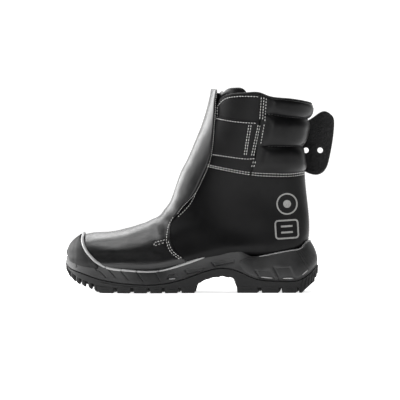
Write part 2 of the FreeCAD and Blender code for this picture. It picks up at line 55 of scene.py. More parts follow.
# ---------------------------------------------------------------- outlines
# The form's oval sections, from the toe to the top: the front and the back point (x, z) in the side view,
# the outer and the inner y, and how much a section widens from its front point to its back point.
STATIONS = [
    ((-157.6, 50), (-157.6, 44.5), 3, 12, 0.0),
    ((-155, 55), (-155.5, 40), -10, 22, 0.0),
    ((-147, 63.5), (-150, 35), -25, 33, 0.1),
    ((-133, 69), (-136, 30), -37.5, 42.5, 0.16),
    ((-110, 71), (-112, 25.5), -46.5, 49, 0.18),
    ((-82, 76.8), (-82, 22.5), -50.5, 49.5, 0.2),
    ((-56, 86.4), (-45, 24), -48, 45, 0.22),
    ((-38.5, 99.5), (0, 33), -43.5, 40.5, 0.2),
    ((-30, 111), (45, 40), -40.5, 38.5, 0.14),
    ((-22.5, 124), (92, 40.5), -38.5, 38, 0.08),
    ((-16, 139), (124, 48.5), -38, 38, 0.03),
    ((-8.5, 154), (131, 76), -38.5, 38.5, 0.0),
    ((0, 175), (128.5, 110), -41, 41, 0.0),
    ((8.6, 198), (126, 142), -44, 44, 0.0),
    ((14.1, 222), (128, 185), -47, 47, 0.0),
    ((17.1, 246), (133, 226), -49, 49, 0.0),
    ((18, 262), (135, 250), -50, 50, 0.0),
]
# The sole's plan (x, y), from the toe along the outer side to the heel and back along the inner side.
SOLE_PLAN = [(-162, 5), (-158, -12), (-148, -29), (-130, -43), (-104, -52.6), (-70, -56), (-35, -51), (0, -44),
             (35, -40.5), (70, -41), (98, -41.5), (120, -36), (134, -21), (140.5, 0), (134, 21), (120, 35),
             (98, 40.5), (70, 39.5), (35, 36), (0, 38), (-35, 46), (-68, 53.6), (-96, 56), (-124, 50.5),
             (-146, 38), (-158, 22)]
# Lines in the side view (x, z).
TREAD_LINE = [(-164, 38), (-156, 29), (-145, 24.6), (-125.6, 18.1), (-104, 13.3), (-72, 10.2), (-54, 10.2),
              (-23, 15.7), (0, 23.8), (27.7, 29.4), (46, 25.2), (67, 16.4), (94, 14.2), (112, 14.2),
              (125.5, 19.2), (142, 35)]
RIM_LINE = [(-164, 44), (-150, 42), (-134, 40), (-120, 35.3), (-112, 31.6), (-93.5, 28.3), (-75.7, 26.8),
            (-50, 26.8), (-17, 36), (9, 44.8), (30, 51.8), (38.4, 53.4), (46, 50.6), (59.5, 43.8),
            (76.8, 45.1), (94, 48.6), (115, 51.5), (128.4, 55.4), (134, 60.6), (142, 62)]
GROUND_LINE = [(-164, 30), (-157, 19.5), (-146, 11), (-131, 5.6), (-118, 0), (-60, 0), (-5, 0), (-2.5, 10.4),
               (11, 16.2), (25, 18.4), (36, 17), (41, 14.4), (42.5, 0), (121, 0), (127, 6.6), (134, 11.3),
               (139, 18), (142, 28)]
BUMPER_EDGE = [(-117, 22), (-121, 33), (-128, 41.5), (-134, 48), (-138.5, 55.7), (-140.5, 63.6), (-138.5, 73),
               (-134, 80)]
HEEL_EDGE = [(40, 33), (52, 40), (63, 43)] + RIM_LINE[-6:]
VAMP_EDGE = [(-12, 30), (-21, 42), (-28, 48), (-33.8, 60), (-36, 74.4), (-34, 86.9)]
SHIELD_EDGE = [(-28.3, 94.2), (-20, 106), (-9.1, 118), (-0.8, 133.7), (7.4, 152.4), (12.7, 176.4),
               (14.5, 194.4), (16, 212.4), (16.9, 230.4), (18.1, 241)]
TONGUE_EDGE = [(-40, 92.9), (-28, 106), (-19, 118), (-10.5, 133.7), (-2, 152.4), (6, 176.4), (11, 194.4),
               (15, 212.4), (18, 230.4), (19.5, 238)]
PANEL_FRONT = [(-20, 118), (-3, 140), (8, 170), (16.5, 200), (19.5, 222)]
COLLAR_SEAM = [(-8, 154), (4.3, 151.2), (21, 147), (51, 142.2), (66.7, 140), (95.5, 138.4), (120.7, 140.4),
               (134, 143.5)]
COLLAR_FRONT = [(59.5, 140), (64.3, 162), (69, 194.4), (73, 234)]
PANEL_TOP = [(19.5, 222), (21.5, 227), (26, 231.6), (36.7, 235), (54.7, 236.2), (71.5, 235.4), (77.5, 233)]
COLLAR_TOP = [(73, 234.5), (77.5, 232.5), (101.5, 228.6), (134, 224.5)]
TOP_LINE = [(22, 228), (26, 232), (36.7, 235.2), (54.7, 236.4), (71.5, 235.6), (77.5, 233), (101.5, 229.2),
            (134, 225)]
CHANNEL_HIGH = [(60, 213), (79.3, 212), (100, 208.7), (124, 207.2), (134, 206.9)]
CHANNEL_LOW = [(60, 173.5), (100, 173.5), (134, 174.5)]
STRAP_TOP = [(10, 210.5), (21.1, 209.2), (42.5, 205), (55, 203.9), (69.6, 203.3)]
STRAP_END = [(69.6, 203.3), (67.5, 185), (65.2, 170), (64, 158.2)]
STRAP_BOTTOM = [(64, 158.2), (57, 157.3), (39.5, 158.6), (18, 162), (6, 163)]
PAD_SIDE = [(47, 186), (53, 212), (53, 232), (50.5, 239), (45, 243), (35, 244), (25, 243), (19, 238)]
EAR_EDGE = [(122, 205), (130.9, 207.2), (138, 211.5), (145.4, 216.6), (150.2, 217.9), (157, 214.8),
            (161.3, 209.3), (162, 203.9), (161.4, 193), (159.8, 180.4), (158, 170), (155.8, 159.7),
            (152.3, 148.8), (146.8, 142.6), (140.6, 140.4), (134.4, 141.2), (126.7, 144.5), (119, 152)]
# The strap's plan (x, y) at its foot, and how far it leans out for each millimetre of height.
STRAP_PLAN = [(24, 36.3), (32, 39.2), (40, 41.6), (50, 43.8), (58, 45.6), (66, 47.4), (74, 47.9), (82, 47.8),
              (90, 47.1), (98, 45.6), (114, 41.6), (130, 37.6), (146, 33.6), (162, 29.6)]
STRAP_FOOT, STRAP_LEAN = 158.0, 0.085
EAR_HOLES = [(144.99, 170.3), (127.99, 170.3)]
HOLE_RADIUS = 3.3


# ---------------------------------------------------------------- curves
def smooth_curve(knots, values):
    """A natural cubic spline through the values, as a function of an array."""
    knots = np.asarray(knots, float)
    values = np.asarray(values, float)
    flat = values.ndim == 1
    if flat:
        values = values[:, None]
    count = len(knots)
    step = np.diff(knots)
    slope = np.diff(values, axis=0) / step[:, None]
    system = np.eye(count)
    right = np.zeros_like(values)
    for i in range(1, count - 1):
        system[i, i - 1:i + 2] = step[i - 1], 2 * (step[i - 1] + step[i]), step[i]
        right[i] = 6 * (slope[i] - slope[i - 1])
    bend = np.linalg.solve(system, right)

    def at(t):
        t = np.asarray(t, float)
        i = np.clip(np.searchsorted(knots, t, side="right") - 1, 0, count - 2)
        width = step[i][..., None]
        f = ((t - knots[i]) / step[i])[..., None]
        made = (1 - f) * values[i] + f * values[i + 1]
        made = made + width ** 2 / 6 * (((1 - f) ** 3 - (1 - f)) * bend[i] + (f ** 3 - f) * bend[i + 1])
        return made[..., 0] if flat else made
    return at


def lengths(points):
    """The distance along a polyline to each of its points."""
    return np.concatenate([[0], np.cumsum(np.linalg.norm(np.diff(points, axis=0), axis=1))])


def resample(points, step):
    """Points a step apart along a polyline."""
    points = np.asarray(points, float)
    along = lengths(points)
    count = max(2, int(round(along[-1] / step)) + 1)
    places = np.linspace(0, along[-1], count)
    return np.column_stack([np.interp(places, along, points[:, k]) for k in range(points.shape[1])])


def through(points, step=1.5):
    """Points a step apart on the smooth curve through the given ones."""
    points = np.asarray(points, float)
    if len(points) < 3:
        return resample(points, step)
    along = lengths(points)
    dense = smooth_curve(along, points)(np.linspace(0, along[-1], max(8, int(along[-1] / 0.7))))
    return resample(dense, step)


def height_of(line):
    """The line's z as a function of x."""
    dense = through(line, 0.8)
    return lambda x: np.interp(x, dense[:, 0], dense[:, 1])


def step_up(value, start, end):
    """A smooth step from 0 at the start to 1 at the end."""
    t = np.clip((value - start) / (end - start), 0, 1)
    return t * t * (3 - 2 * t)


def hill(value, middle, width):
    """A smooth hump: 1 at the middle, fading out over the width."""
    return np.exp(-((value - middle) / width) ** 2)


def run_of(line, closed=False):
    """The unit direction along a line at each of its points."""
    run = np.roll(line, -1, axis=0) - np.roll(line, 1, axis=0) if closed else np.gradient(line, axis=0)
    return run / np.maximum(np.linalg.norm(run, axis=1, keepdims=True), 1e-9)


def left_of(run):
    """The directions a quarter turn to the left of the given ones."""
    return np.column_stack([-run[:, 1], run[:, 0]])


def arrays(*values):
    """The values as arrays of one shape."""
    return np.broadcast_arrays(*(np.asarray(v, float) for v in values))


def even(height):
    """A panel height that is the same everywhere."""
    return lambda a, b, away: np.full_like(a, height)


def distance_to(points, path, closed=False):
    """How far each point is from a polyline."""
    points = np.asarray(points, float)
    path = np.asarray(path, float)
    if closed:
        path = np.vstack([path, path[:1]])
    best = np.full(len(points), 1e9)
    start, run = path[:-1], np.diff(path, axis=0)
    square = np.maximum((run ** 2).sum(1), 1e-12)
    for first in range(0, len(points), 2000):
        part = points[first:first + 2000, None, :] - start[None]
        t = np.clip((part * run[None]).sum(2) / square, 0, 1)
        away = part - t[..., None] * run[None]
        best[first:first + 2000] = np.sqrt((away ** 2).sum(2).min(1))
    return best


def inside(points, loop):
    """Which points lie in a closed polygon."""
    x, y = points[:, 0][:, None], points[:, 1][:, None]
    xa, ya = loop[:, 0][None], loop[:, 1][None]
    xb, yb = np.roll(loop[:, 0], -1)[None], np.roll(loop[:, 1], -1)[None]
    crosses = (ya > y) != (yb > y)
    where = xa + (y - ya) / np.where(yb == ya, 1e-12, yb - ya) * (xb - xa)
    return (crosses & (x < where)).sum(1) % 2 == 1


# ---------------------------------------------------------------- the boot form
RING_POINTS = 20
ROUND = 50.0                       # millimetres of a for each radian round the form
BACK = math.pi * ROUND             # a of the back line
FRONT_POWER, BACK_POWER, SIDE_POWER = 2.0, 2.7, 2.15    # how square the oval is: 2 is round


def ring_curve():
    """The oval's lengthwise and sideways place, from -1 to 1, by angle."""
    angles, values = [], []
    for turn in range(-RING_POINTS, 2 * RING_POINTS + 1):
        angle = 2 * math.pi * turn / RING_POINTS
        c, s = math.cos(angle), math.sin(angle)
        lengthwise = -math.copysign(abs(c) ** (2 / (FRONT_POWER if c > 0 else BACK_POWER)), c)
        angles.append(angle)
        values.append((lengthwise, math.copysign(abs(s) ** (2 / SIDE_POWER), s)))
    return smooth_curve(angles, values)


def station_curve():
    """Middle, half length, centre, half width and swell of the oval sections, by b."""
    rows = []
    for front, back, outer, inner, swell in STATIONS:
        middle, half = (np.add(front, back) / 2, np.subtract(back, front) / 2)
        rows.append((*middle, *half, (outer + inner) / 2, (inner - outer) / 2, swell))
    places = (lengths(np.array([row[0] for row in STATIONS], float))
              + lengths(np.array([row[1] for row in STATIONS], float))) / 2
    return smooth_curve(places, rows), places


ring = ring_curve()
section, STATION_B = station_curve()
NOSE = 3.0                         # b of the rounded tip in front of the first section
UNDER_SQUARE = 7.0                 # how square the foot is along the feather edge


def form_point(a, b):
    """The point of the bare boot form at (a, b)."""
    a, b = arrays(a, b)
    m = section(np.maximum(b, 0.0))
    shape = ring(a / ROUND)
    shrink = np.sqrt(np.clip(1 - (np.minimum(b, 0.0) / NOSE) ** 2, 1e-4, 1))
    low = np.clip(shape[..., 0], 0, 0.999)
    square = ((1 - low ** UNDER_SQUARE) / (1 - low ** BACK_POWER)) ** (1 / SIDE_POWER)
    foot = 1 - step_up(b, STATION_B[9], STATION_B[11])
    lengthwise = shape[..., 0] * shrink
    across = shape[..., 1] * shrink * (1 + foot * (square - 1))
    x = m[..., 0] + m[..., 2] * lengthwise + np.minimum(b, 0.0) * 0.5
    y = m[..., 4] + m[..., 5] * across * (1 + m[..., 6] * lengthwise)
    z = m[..., 1] + m[..., 3] * lengthwise
    return np.stack([x, y, z], -1)


def form_normal(a, b, reach=0.6):
    """The form's outward direction at (a, b)."""
    up = form_point(a, b + reach) - form_point(a, b - reach)
    side = form_point(a + reach, b) - form_point(a - reach, b)
    n = np.cross(up, side)
    return n / np.maximum(np.linalg.norm(n, axis=-1, keepdims=True), 1e-9)


def on_form(a, b, h):
    """The point at the height h over the form."""
    a, b, h = arrays(a, b, h)
    return form_point(a, b) + form_normal(a, b) * h[..., None]


SEARCH_B = np.linspace(0, STATION_B[-1], 1400)
SEARCH_SECTION = section(SEARCH_B)
SEARCH_ANGLE = np.linspace(0, math.pi, 400)
SEARCH_LENGTHWISE = np.maximum.accumulate(ring(SEARCH_ANGLE)[:, 0])


def locate(x, z, side):
    """The (a, b) of a point given in the side view."""
    m = SEARCH_SECTION
    off = (x - m[:, 0]) * m[:, 3] - (z - m[:, 1]) * m[:, 2]
    along = ((x - m[:, 0]) * m[:, 2] + (z - m[:, 1]) * m[:, 3]) / (m[:, 2] ** 2 + m[:, 3] ** 2)
    crossings = np.nonzero(off[:-1] * off[1:] <= 0)[0]
    if len(crossings) == 0:
        i, share = int(np.argmin(np.abs(off))), 0.0
    else:
        i = crossings[np.argmin(np.abs(along[crossings]))]
        share = off[i] / (off[i] - off[i + 1] + 1e-12)
    b = SEARCH_B[i] + share * (SEARCH_B[min(i + 1, len(SEARCH_B) - 1)] - SEARCH_B[i])
    lengthwise = np.clip(along[i] + share * (along[min(i + 1, len(along) - 1)] - along[i]), -1, 1)
    angle = np.interp(lengthwise, SEARCH_LENGTHWISE, SEARCH_ANGLE)
    return side * angle * ROUND, b


def edge(points, side=LATERAL, step=1.5, lift=None):
    """A line on one side of the form that shows at its side-view place at the height lift(a, b)."""
    made = []
    for x, z in through(points, step):
        spot = locate(x, z, side)
        for _ in range(3 if lift else 0):
            shift = form_normal(*spot) * lift(*spot)
            spot = locate(x - shift[0], z - shift[2], side)
        made.append(spot)
    return np.array(made)


def edges(lines, side=LATERAL):
    return [edge(line, side) for line in lines]


def mirror(line):
    """The same line on the other side, run the other way."""
    return (line * np.array([-1, 1]))[::-1]


def before_back(line, gap=1.0):
    """The part of a line that ends a gap before the back line."""
    return line[np.abs(line[:, 0]) < BACK - gap]


def over_back(line):
    """A lateral line's twin on the medial side, with a running on past the back line."""
    return np.column_stack([-2 * BACK - line[:, 0], line[:, 1]])[::-1]


def wrap(line):
    """Continues a lateral line over the back to the medial side."""
    return np.vstack([line, over_back(line)])


def on_strap(a, b, h):
    """The strap's face: a is x, b is z, h is how far it stands out from the collar."""
    a, b, h = arrays(a, b, h)
    slope = STRAP_CURVE(a + 0.5) - STRAP_CURVE(a - 0.5)
    n = np.stack([-slope, np.ones_like(a), np.full_like(a, -STRAP_LEAN)], -1)
    n = n / np.linalg.norm(n, axis=-1, keepdims=True)
    return np.stack([a, STRAP_CURVE(a) + STRAP_LEAN * (b - STRAP_FOOT), b], -1) + n * h[..., None]


STRAP_CURVE = smooth_curve(*zip(*STRAP_PLAN))


# ---------------------------------------------------------------- materials
def connect(made, target, socket, value):
    """Gives a socket a value, or links it to the output that is given."""
    if isinstance(value, bpy.types.NodeSocket):
        made.node_tree.links.new(value, target.inputs[socket])
    else:
        target.inputs[socket].default_value = value


def node(made, kind, inputs=(), **settings):
    """Adds a shader node with its settings, and the value or link of each input."""
    new = made.node_tree.nodes.new("ShaderNode" + kind)
    for key, value in settings.items():
        setattr(new, key, value)
    for socket, value in dict(inputs).items():
        connect(made, new, socket, value)
    return new


def shader(name, colour, rough, metallic=0.0, specular=0.5, coat=0.0, coat_rough=0.2, sheen=0.0):
    """A material with its principled shader and the object's own coordinates."""
    made = bpy.data.materials.new(name)
    made.use_nodes = True
    principled = made.node_tree.nodes["Principled BSDF"]
    values = {"Base Color": (*colour, 1), "Roughness": rough, "Metallic": metallic,
              "Specular IOR Level": specular,
              "Coat Weight": coat, "Coat Roughness": coat_rough, "Sheen Weight": sheen}
    for socket, value in values.items():
        connect(made, principled, socket, value)
    return made, principled, node(made, "TexCoord").outputs["Object"]


def texture(made, where, kind, size, detail=2.0, **settings):
    """A noise, voronoi or wave texture whose features are about size millimetres wide."""
    new = node(made, "Tex" + kind, {"Scale": 1 / (size * MM), "Vector": where}, **settings)
    if "Detail" in new.inputs:
        new.inputs["Detail"].default_value = detail
    return new


def shades(made, source, stops):
    """A ramp between two colours, each given with its place."""
    ramp = node(made, "ValToRGB", {"Fac": source})
    for element, (place, colour) in zip(ramp.color_ramp.elements, stops):
        element.position = place
        element.color = (*colour, 1)
    return ramp.outputs["Color"]


def tint(made, principled, source, dark, light, low=0.35, high=0.65):
    """Colours the shader between two shades by a texture."""
    connect(made, principled, "Base Color", shades(made, source, [(low, dark), (high, light)]))


def vary_roughness(made, principled, source, low, high):
    """Spreads the roughness between two values by a texture."""
    spread = node(made, "MapRange", {"Value": source, "From Min": 0.3, "From Max": 0.7,
                                     "To Min": low, "To Max": high})
    connect(made, principled, "Roughness", spread.outputs["Result"])


def bump(made, principled, source, depth, strength=1.0, below=None):
    """Adds relief of a depth in millimetres, over another bump if one is given."""
    relief = node(made, "Bump", {"Height": source, "Distance": depth * MM, "Strength": strength})
    if below is not None:
        connect(made, relief, "Normal", below.outputs["Normal"])
    connect(made, principled, "Normal", relief.outputs["Normal"])
    return relief


def leather(name, colour, rough, grain, depth, specular=0.5, coat=0.0, coat_rough=0.25):
    """Dyed leather: a pore grain, soft unevenness and a finish that varies with rubbing."""
    made, principled, where = shader(name, colour, rough, specular=specular, coat=coat, coat_rough=coat_rough)
    pores = texture(made, where, "Voronoi", grain, feature="F1")
    pores.inputs["Randomness"].default_value = 0.9
    soft = texture(made, where, "Noise", grain * 9, 3)
    cloudy = texture(made, where, "Noise", 38, 4)
    tint(made, principled, cloudy.outputs["Fac"], colour, tuple(c * 1.35 + 0.001 for c in colour))
    vary_roughness(made, principled, soft.outputs["Fac"], rough - 0.05, rough + 0.07)
    first = bump(made, principled, soft.outputs["Fac"], depth * 2.0, 0.6)
    bump(made, principled, pores.outputs["Distance"], depth, 0.7, first)
    return made


def moulded(name, colour, rough, grain, depth, specular=0.4):
    """Moulded rubber or foam skin: a fine matte grain with a little dust in it."""
    made, principled, where = shader(name, colour, rough, specular=specular)
    fine = texture(made, where, "Noise", grain, 3)
    cloudy = texture(made, where, "Noise", 22, 5)
    tint(made, principled, cloudy.outputs["Fac"], colour, tuple(c * 1.4 + 0.002 for c in colour))
    vary_roughness(made, principled, cloudy.outputs["Fac"], rough - 0.06, rough + 0.08)
    bump(made, principled, fine.outputs["Fac"], depth, 0.8)
    return made


def woven(name, colour, rough, pitch, depth, sheen=0.3):
    """A woven or knitted textile: two sets of threads across each other."""
    made, principled, where = shader(name, colour, rough, sheen=sheen)
    across, up = (texture(made, where, "Wave", pitch * 6.3, 1, bands_direction=way).outputs["Fac"]
                  for way in "XZ")
    both = node(made, "Math", {0: across, 1: up}, operation="MULTIPLY").outputs[0]
    tint(made, principled, both, tuple(c * 0.7 for c in colour), colour, 0.1, 0.6)
    bump(made, principled, both, depth, 0.9)
    return made


def hooked(name, colour):
    """Hook and loop tape: a dense field of tiny fibres."""
    made, principled, where = shader(name, colour, 0.85, sheen=0.4)
    fibres = texture(made, where, "Voronoi", 0.5, feature="F1").outputs["Distance"]
    tint(made, principled, fibres, tuple(c * 2.2 for c in colour), colour, 0.1, 0.6)
    bump(made, principled, fibres, 0.5)
    return made


def brushed(name, colour, rough):
    """Bare metal with a drawn finish."""
    made, principled, where = shader(name, colour, rough, metallic=1.0)
    streaks = texture(made, where, "Noise", 1.2, 6).outputs["Fac"]
    vary_roughness(made, principled, streaks, rough - 0.08, rough + 0.12)
    bump(made, principled, streaks, 0.03, 0.4)
    return made


def twisted(name, dark, light, sheen=0.0):
    """Sewing thread with its twist."""
    made, principled, where = shader(name, dark, 0.6, sheen=sheen)
    twist = texture(made, where, "Wave", 2.2, 2, bands_direction="DIAGONAL").outputs["Fac"]
    tint(made, principled, twist, dark, light, 0.3, 0.7)
    bump(made, principled, twist, 0.1, 0.7)
    return made


def printed(name, worn, fresh):
    """Rubbed grey print."""
    made, principled, where = shader(name, fresh, 0.55)
    patches = texture(made, where, "Noise", 1.1, 6).outputs["Fac"]
    tint(made, principled, patches, worn, fresh, 0.3, 0.55)
    bump(made, principled, patches, 0.05, 0.5)
    return made


VAMP_LEATHER = leather("vamp_leather", (0.004, 0.004, 0.0043), 0.36, 0.7, 0.045, specular=0.5, coat=0.2)
QUARTER_LEATHER = leather("quarter_leather", (0.0035, 0.0035, 0.0038), 0.40, 0.8, 0.06, specular=0.17)
COLLAR_LEATHER = leather("collar_leather", (0.003, 0.003, 0.0033), 0.34, 0.9, 0.07, specular=0.22)
EAR_LEATHER = leather("ear_leather", (0.012, 0.012, 0.0125), 0.4, 2.3, 0.8, specular=0.3)
EDGE_LEATHER = leather("edge_leather", (0.006, 0.006, 0.006), 0.6, 0.6, 0.08, specular=0.3)
MIDSOLE_FOAM = moulded("midsole_foam", (0.030, 0.030, 0.0305), 0.48, 0.55, 0.10, specular=0.45)
BUMPER_RUBBER = moulded("bumper_rubber", (0.011, 0.011, 0.0112), 0.58, 0.5, 0.08, specular=0.2)
BED_CLOTH = woven("footbed_cover", (0.035, 0.035, 0.038), 0.9, 1.1, 0.3)
# Light grey for the rim bead, the heel line and the wall bars: a painted highlight, much lighter than the dark sole
# foam that they are part of.
RIM_PAINTED_HIGHLIGHT = moulded("rim_painted_highlight", (0.32, 0.32, 0.32), 0.34, 0.5, 0.05, specular=0.7)
TREAD_RUBBER = moulded("tread_rubber", (0.0055, 0.0055, 0.0058), 0.55, 0.6, 0.12)
LINING = woven("lining_textile", (0.05, 0.05, 0.055), 0.9, 0.7, 0.25)
THREAD = twisted("stitch_thread", (0.48, 0.48, 0.47), (0.78, 0.78, 0.76), 0.2)
DARK_THREAD = twisted("dark_thread", (0.03, 0.03, 0.03), (0.09, 0.09, 0.09))
PRINT = printed("print_grey", (0.21, 0.21, 0.205), (0.33, 0.33, 0.32))


# ---------------------------------------------------------------- mesh tools
def join_rings(faces, first, rings, turns, caps=True):
    """Adds the faces between neighbouring rings of points, and over the two end rings."""
    for low in range(first, first + (rings - 1) * turns, turns):
        faces.extend((low + i, low + (i + 1) % turns, low + turns + (i + 1) % turns, low + turns + i)
                     for i in range(turns))
    if caps:
        faces.append(tuple(range(first, first + turns)))
        faces.append(tuple(range(first + (rings - 1) * turns, first + rings * turns))[::-1])


def make(name, points, faces, material, sharp=38.0):
    """A mesh object from points in millimetres, its faces turned outwards."""
    mesh = bpy.data.meshes.new(name)
    mesh.from_pydata((np.asarray(points, float) * MM).tolist(), [], faces)
    shape = bmesh.new()
    shape.from_mesh(mesh)
    bmesh.ops.remove_doubles(shape, verts=shape.verts, dist=1e-6)
    bmesh.ops.dissolve_degenerate(shape, dist=1e-7, edges=shape.edges)
    bmesh.ops.recalc_face_normals(shape, faces=shape.faces)
    shape.to_mesh(mesh)
    shape.free()
    mesh.polygons.foreach_set("use_smooth", [True] * len(mesh.polygons))
    mesh.set_sharp_from_angle(angle=math.radians(sharp))
    made = bpy.data.objects.new(name, mesh)
    bpy.context.scene.collection.objects.link(made)
    mesh.materials.append(material)
    return made


EDGE_NET = (0.4, 1.0, 1.9)              # distances of the net's rows from an edge
CREASE_NET = (0.0, 0.7, 1.6, 2.9)       # and from a crease


def triangles(outline, step, holes=(), creases=()):
    """An even triangle net inside a closed outline, finer along its edge and along creases."""
    loops = [np.asarray(outline, float), *[np.asarray(hole, float) for hole in holes]]
    bound = [np.vstack([loop, loop[:1]]) for loop in loops]

    def away(points):
        return np.min([distance_to(points, line) for line in bound], axis=0)

    def filled(points):
        keep = inside(points, loops[0])
        for hole in loops[1:]:
            keep &= ~inside(points, hole)
        return keep

    fill = []
    for offset in EDGE_NET:
        for loop in loops:
            for sign in (1, -1):
                moved = loop + left_of(run_of(loop, True)) * offset * sign
                moved = moved[filled(moved)]
                if len(moved):
                    fill.append(moved[away(moved) > offset * 0.93])
    low, high = loops[0].min(0), loops[0].max(0)
    grid = []
    for k, y in enumerate(np.arange(low[1], high[1], step * 0.87)):
        x = np.arange(low[0] + (k % 2) * step / 2, high[0], step)
        grid.append(np.column_stack([x, np.full(len(x), y)]))
    grid = np.vstack(grid)
    grid = grid[filled(grid)]
    grid = grid[away(grid) > EDGE_NET[-1] + step * 0.45]
    for line in creases:
        grid = grid[distance_to(grid, line) > CREASE_NET[-1] + step * 0.4]
        for offset in CREASE_NET:
            for sign in ((1, -1) if offset else (1,)):
                moved = beside(resample(line, step * 0.7), offset * sign)
                moved = moved[filled(moved)]
                fill.append(moved[away(moved) > 2.2])
    fill.append(grid)
    points, edges = [], []
    for loop in loops:
        first = len(points)
        points += loop.tolist()
        edges += [(first + i, first + (i + 1) % len(loop)) for i in range(len(loop))]
    points += np.vstack(fill).tolist()
    net = geometry.delaunay_2d_cdt([Vector(p) for p in points], edges, [], 0, 1e-5)
    flat = np.array([tuple(p) for p in net[0]])
    faces = np.array([f for f in net[2] if len(f) == 3])
    faces = faces[filled(flat[faces].mean(1))]
    return flat, faces, away(flat)


def panel(name, outline, top, bottom, material, step=2.4, place=on_form, holes=(), sharp=38.0, creases=()):
    """A closed sheet laid on a surface. top and bottom give its heights by (a, b) and the way to its edge."""
    flat, faces, away = triangles(outline, step, holes, creases)
    a, b = flat[:, 0], flat[:, 1]
    upper = place(a, b, top(a, b, away))
    lower = place(a, b, bottom(a, b, away))
    count = len(flat)
    both = np.vstack([faces, faces[:, ::-1] + count]).tolist()
    sides = {}
    for p, q, r in faces.tolist():
        for start, end in ((p, q), (q, r), (r, p)):
            sides[(start, end)] = True
    both += [(end, start, start + count, end + count) for start, end in sides if (end, start) not in sides]
    return make(name, np.vstack([upper, lower]), both, material, sharp)


def rounded(away, radius):
    """How far a rounded edge falls at a distance from the rim."""
    t = 1 - np.clip(away / radius, 0, 1)
    return radius * (1 - np.sqrt(np.clip(1 - t * t, 0, 1)))


def beside(row, distance):
    """The same row moved sideways in the sheet."""
    return row + left_of(run_of(row)) * distance


def uneven(a, b, size, depth, seed=0.0):
    """Soft unevenness of hand-lasted leather."""
    return np.array([noise.noise(Vector((u / size, v / size, seed))) for u, v in zip(a, b)]) * depth


def pulled(a, b, rows, depth=0.3, width=1.3):
    """The dip that rows of stitches pull into the leather."""
    points = np.column_stack([a, b])
    dip = np.zeros(len(points))
    for row in rows:
        near = ((points > row.min(0) - 6) & (points < row.max(0) + 6)).all(1)
        if near.any():
            dip[near] = np.maximum(dip[near], depth * hill(distance_to(points[near], row), 0, width))
    return dip


STITCH_PITCH, STITCH_LONG, STITCH_THICK = 3.3, 2.3, 0.44
# Each ring of a stitch: its place along the stitch, and its girth.
STITCH_RINGS = [(-1.0, 0.25), (-0.86, 0.8), (-0.3, 1.0), (0.3, 1.0), (0.86, 0.8), (1.0, 0.25)]
STITCH_TURNS = 6


def stitches(name, rows, height, place=on_form, pitch=STITCH_PITCH, long=STITCH_LONG, thick=STITCH_THICK):
    """Rows of short plump thread stitches lying on a surface, as one piece."""
    points, faces = [], []
    for row in rows:
        a, b = resample(row, 0.4).T
        seen = place(a, b, height(a, b))
        above = place(a, b, height(a, b) + 1)
        along = lengths(seen)
        count = max(1, int(along[-1] // pitch))

        def at(line, where):
            return np.array([np.interp(where, along, line[:, k]) for k in range(3)])

        for number in range(count):
            middle = (number + 0.5) * along[-1] / count
            centre = at(seen, middle)
            up = at(above, middle) - centre
            up /= np.linalg.norm(up)
            run = at(seen, middle + long / 2) - at(seen, middle - long / 2)
            run /= max(np.linalg.norm(run), 1e-9)
            side = np.cross(run, up)
            join_rings(faces, len(points), len(STITCH_RINGS), STITCH_TURNS)
            for shift, girth in STITCH_RINGS:
                ring_centre = centre + run * shift * long / 2 + up * (0.18 - 0.35 * shift * shift)
                for turn in range(STITCH_TURNS):
                    angle = 2 * math.pi * turn / STITCH_TURNS
                    spoke = side * math.cos(angle) + up * math.sin(angle)
                    points.append(ring_centre + spoke * thick * girth)
    return make(name, points, faces, THREAD, 60)


def bead(name, path, centre, across, along, material, turns=12, tip=4.0):
    """A rolled edge that follows a line on the form; centre is its height, across and along its half sizes."""
    fine = resample(path, 1.6)
    square = left_of(run_of(fine))
    reach = lengths(fine)
    girth = np.sqrt(np.clip(np.minimum(reach, reach[-1] - reach) / tip, 0.02, 1))
    rings = []
    for turn in range(turns):
        angle = 2 * math.pi * turn / turns
        spot = fine + square * (along * math.cos(angle) * girth)[:, None]
        rings.append(on_form(spot[:, 0], spot[:, 1], centre + across * math.sin(angle) * girth))
    faces = []
    join_rings(faces, 0, len(fine), turns)
    return make(name, np.stack(rings, 1).reshape(-1, 3), faces, material, 50)


def finish_piece(piece, body="boot", replaces=()):
    """Says which body a piece moves with, and the CAD nodes that it stands for."""
    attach(piece, body)
    if replaces:
        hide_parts(*replaces)


# ---------------------------------------------------------------- front leather: vamp, crease and shield
rim_height = height_of(RIM_LINE)
SHIELD_TOP = locate(18.1, 241, LATERAL)
CREASE_START, CREASE_END = np.array([-44.0, 87.0]), np.array([-14.0, 121.0])
VAMP_PROUD, SHIELD_PROUD, SHIELD_FULL = 0.8, 3.6, 4.4    # heights over the form
VAMP_THICK = 2.1
VAMP_BURIED, QUARTER_BURIED = 7.0, 6.0                   # how far the leathers reach below the sole's rim


def side_view(a, b):
    """The (x, z) where a point of the form shows from the side."""
    p = form_point(a, b)
    return p[..., 0], p[..., 2]


def crease_share(a, b):
    """0 on the vamp, 1 on the shield, by place in the side view."""
    x, z = side_view(a, b)
    run = CREASE_END - CREASE_START
    t = ((x - CREASE_START[0]) * run[0] + (z - CREASE_START[1]) * run[1]) / (run @ run)
    return step_up(t, 0, 1)


def front_height(a, b):
    """The outside of the vamp and the shield, which stands off the tongue and is fullest at the instep."""
    full = hill(side_view(a, b)[1], 158, 56) * hill(a, 0, 42)
    return VAMP_PROUD + SHIELD_PROUD * crease_share(a, b) + SHIELD_FULL * full


def front_thread(sink):
    """The height of a thread that lies on the front leather, sunk a little."""
    return lambda a, b: front_height(a, b) + uneven(a, b, 26, 0.55) - sink


def under_rim(start, end, side, depth):
    """A line a depth below the sole's rim, from one x to another."""
    xs = np.linspace(start, end, max(3, int(abs(end - start) / 1.6)))
    return np.array([locate(x, z, side) for x, z in zip(xs, rim_height(xs) - depth)])


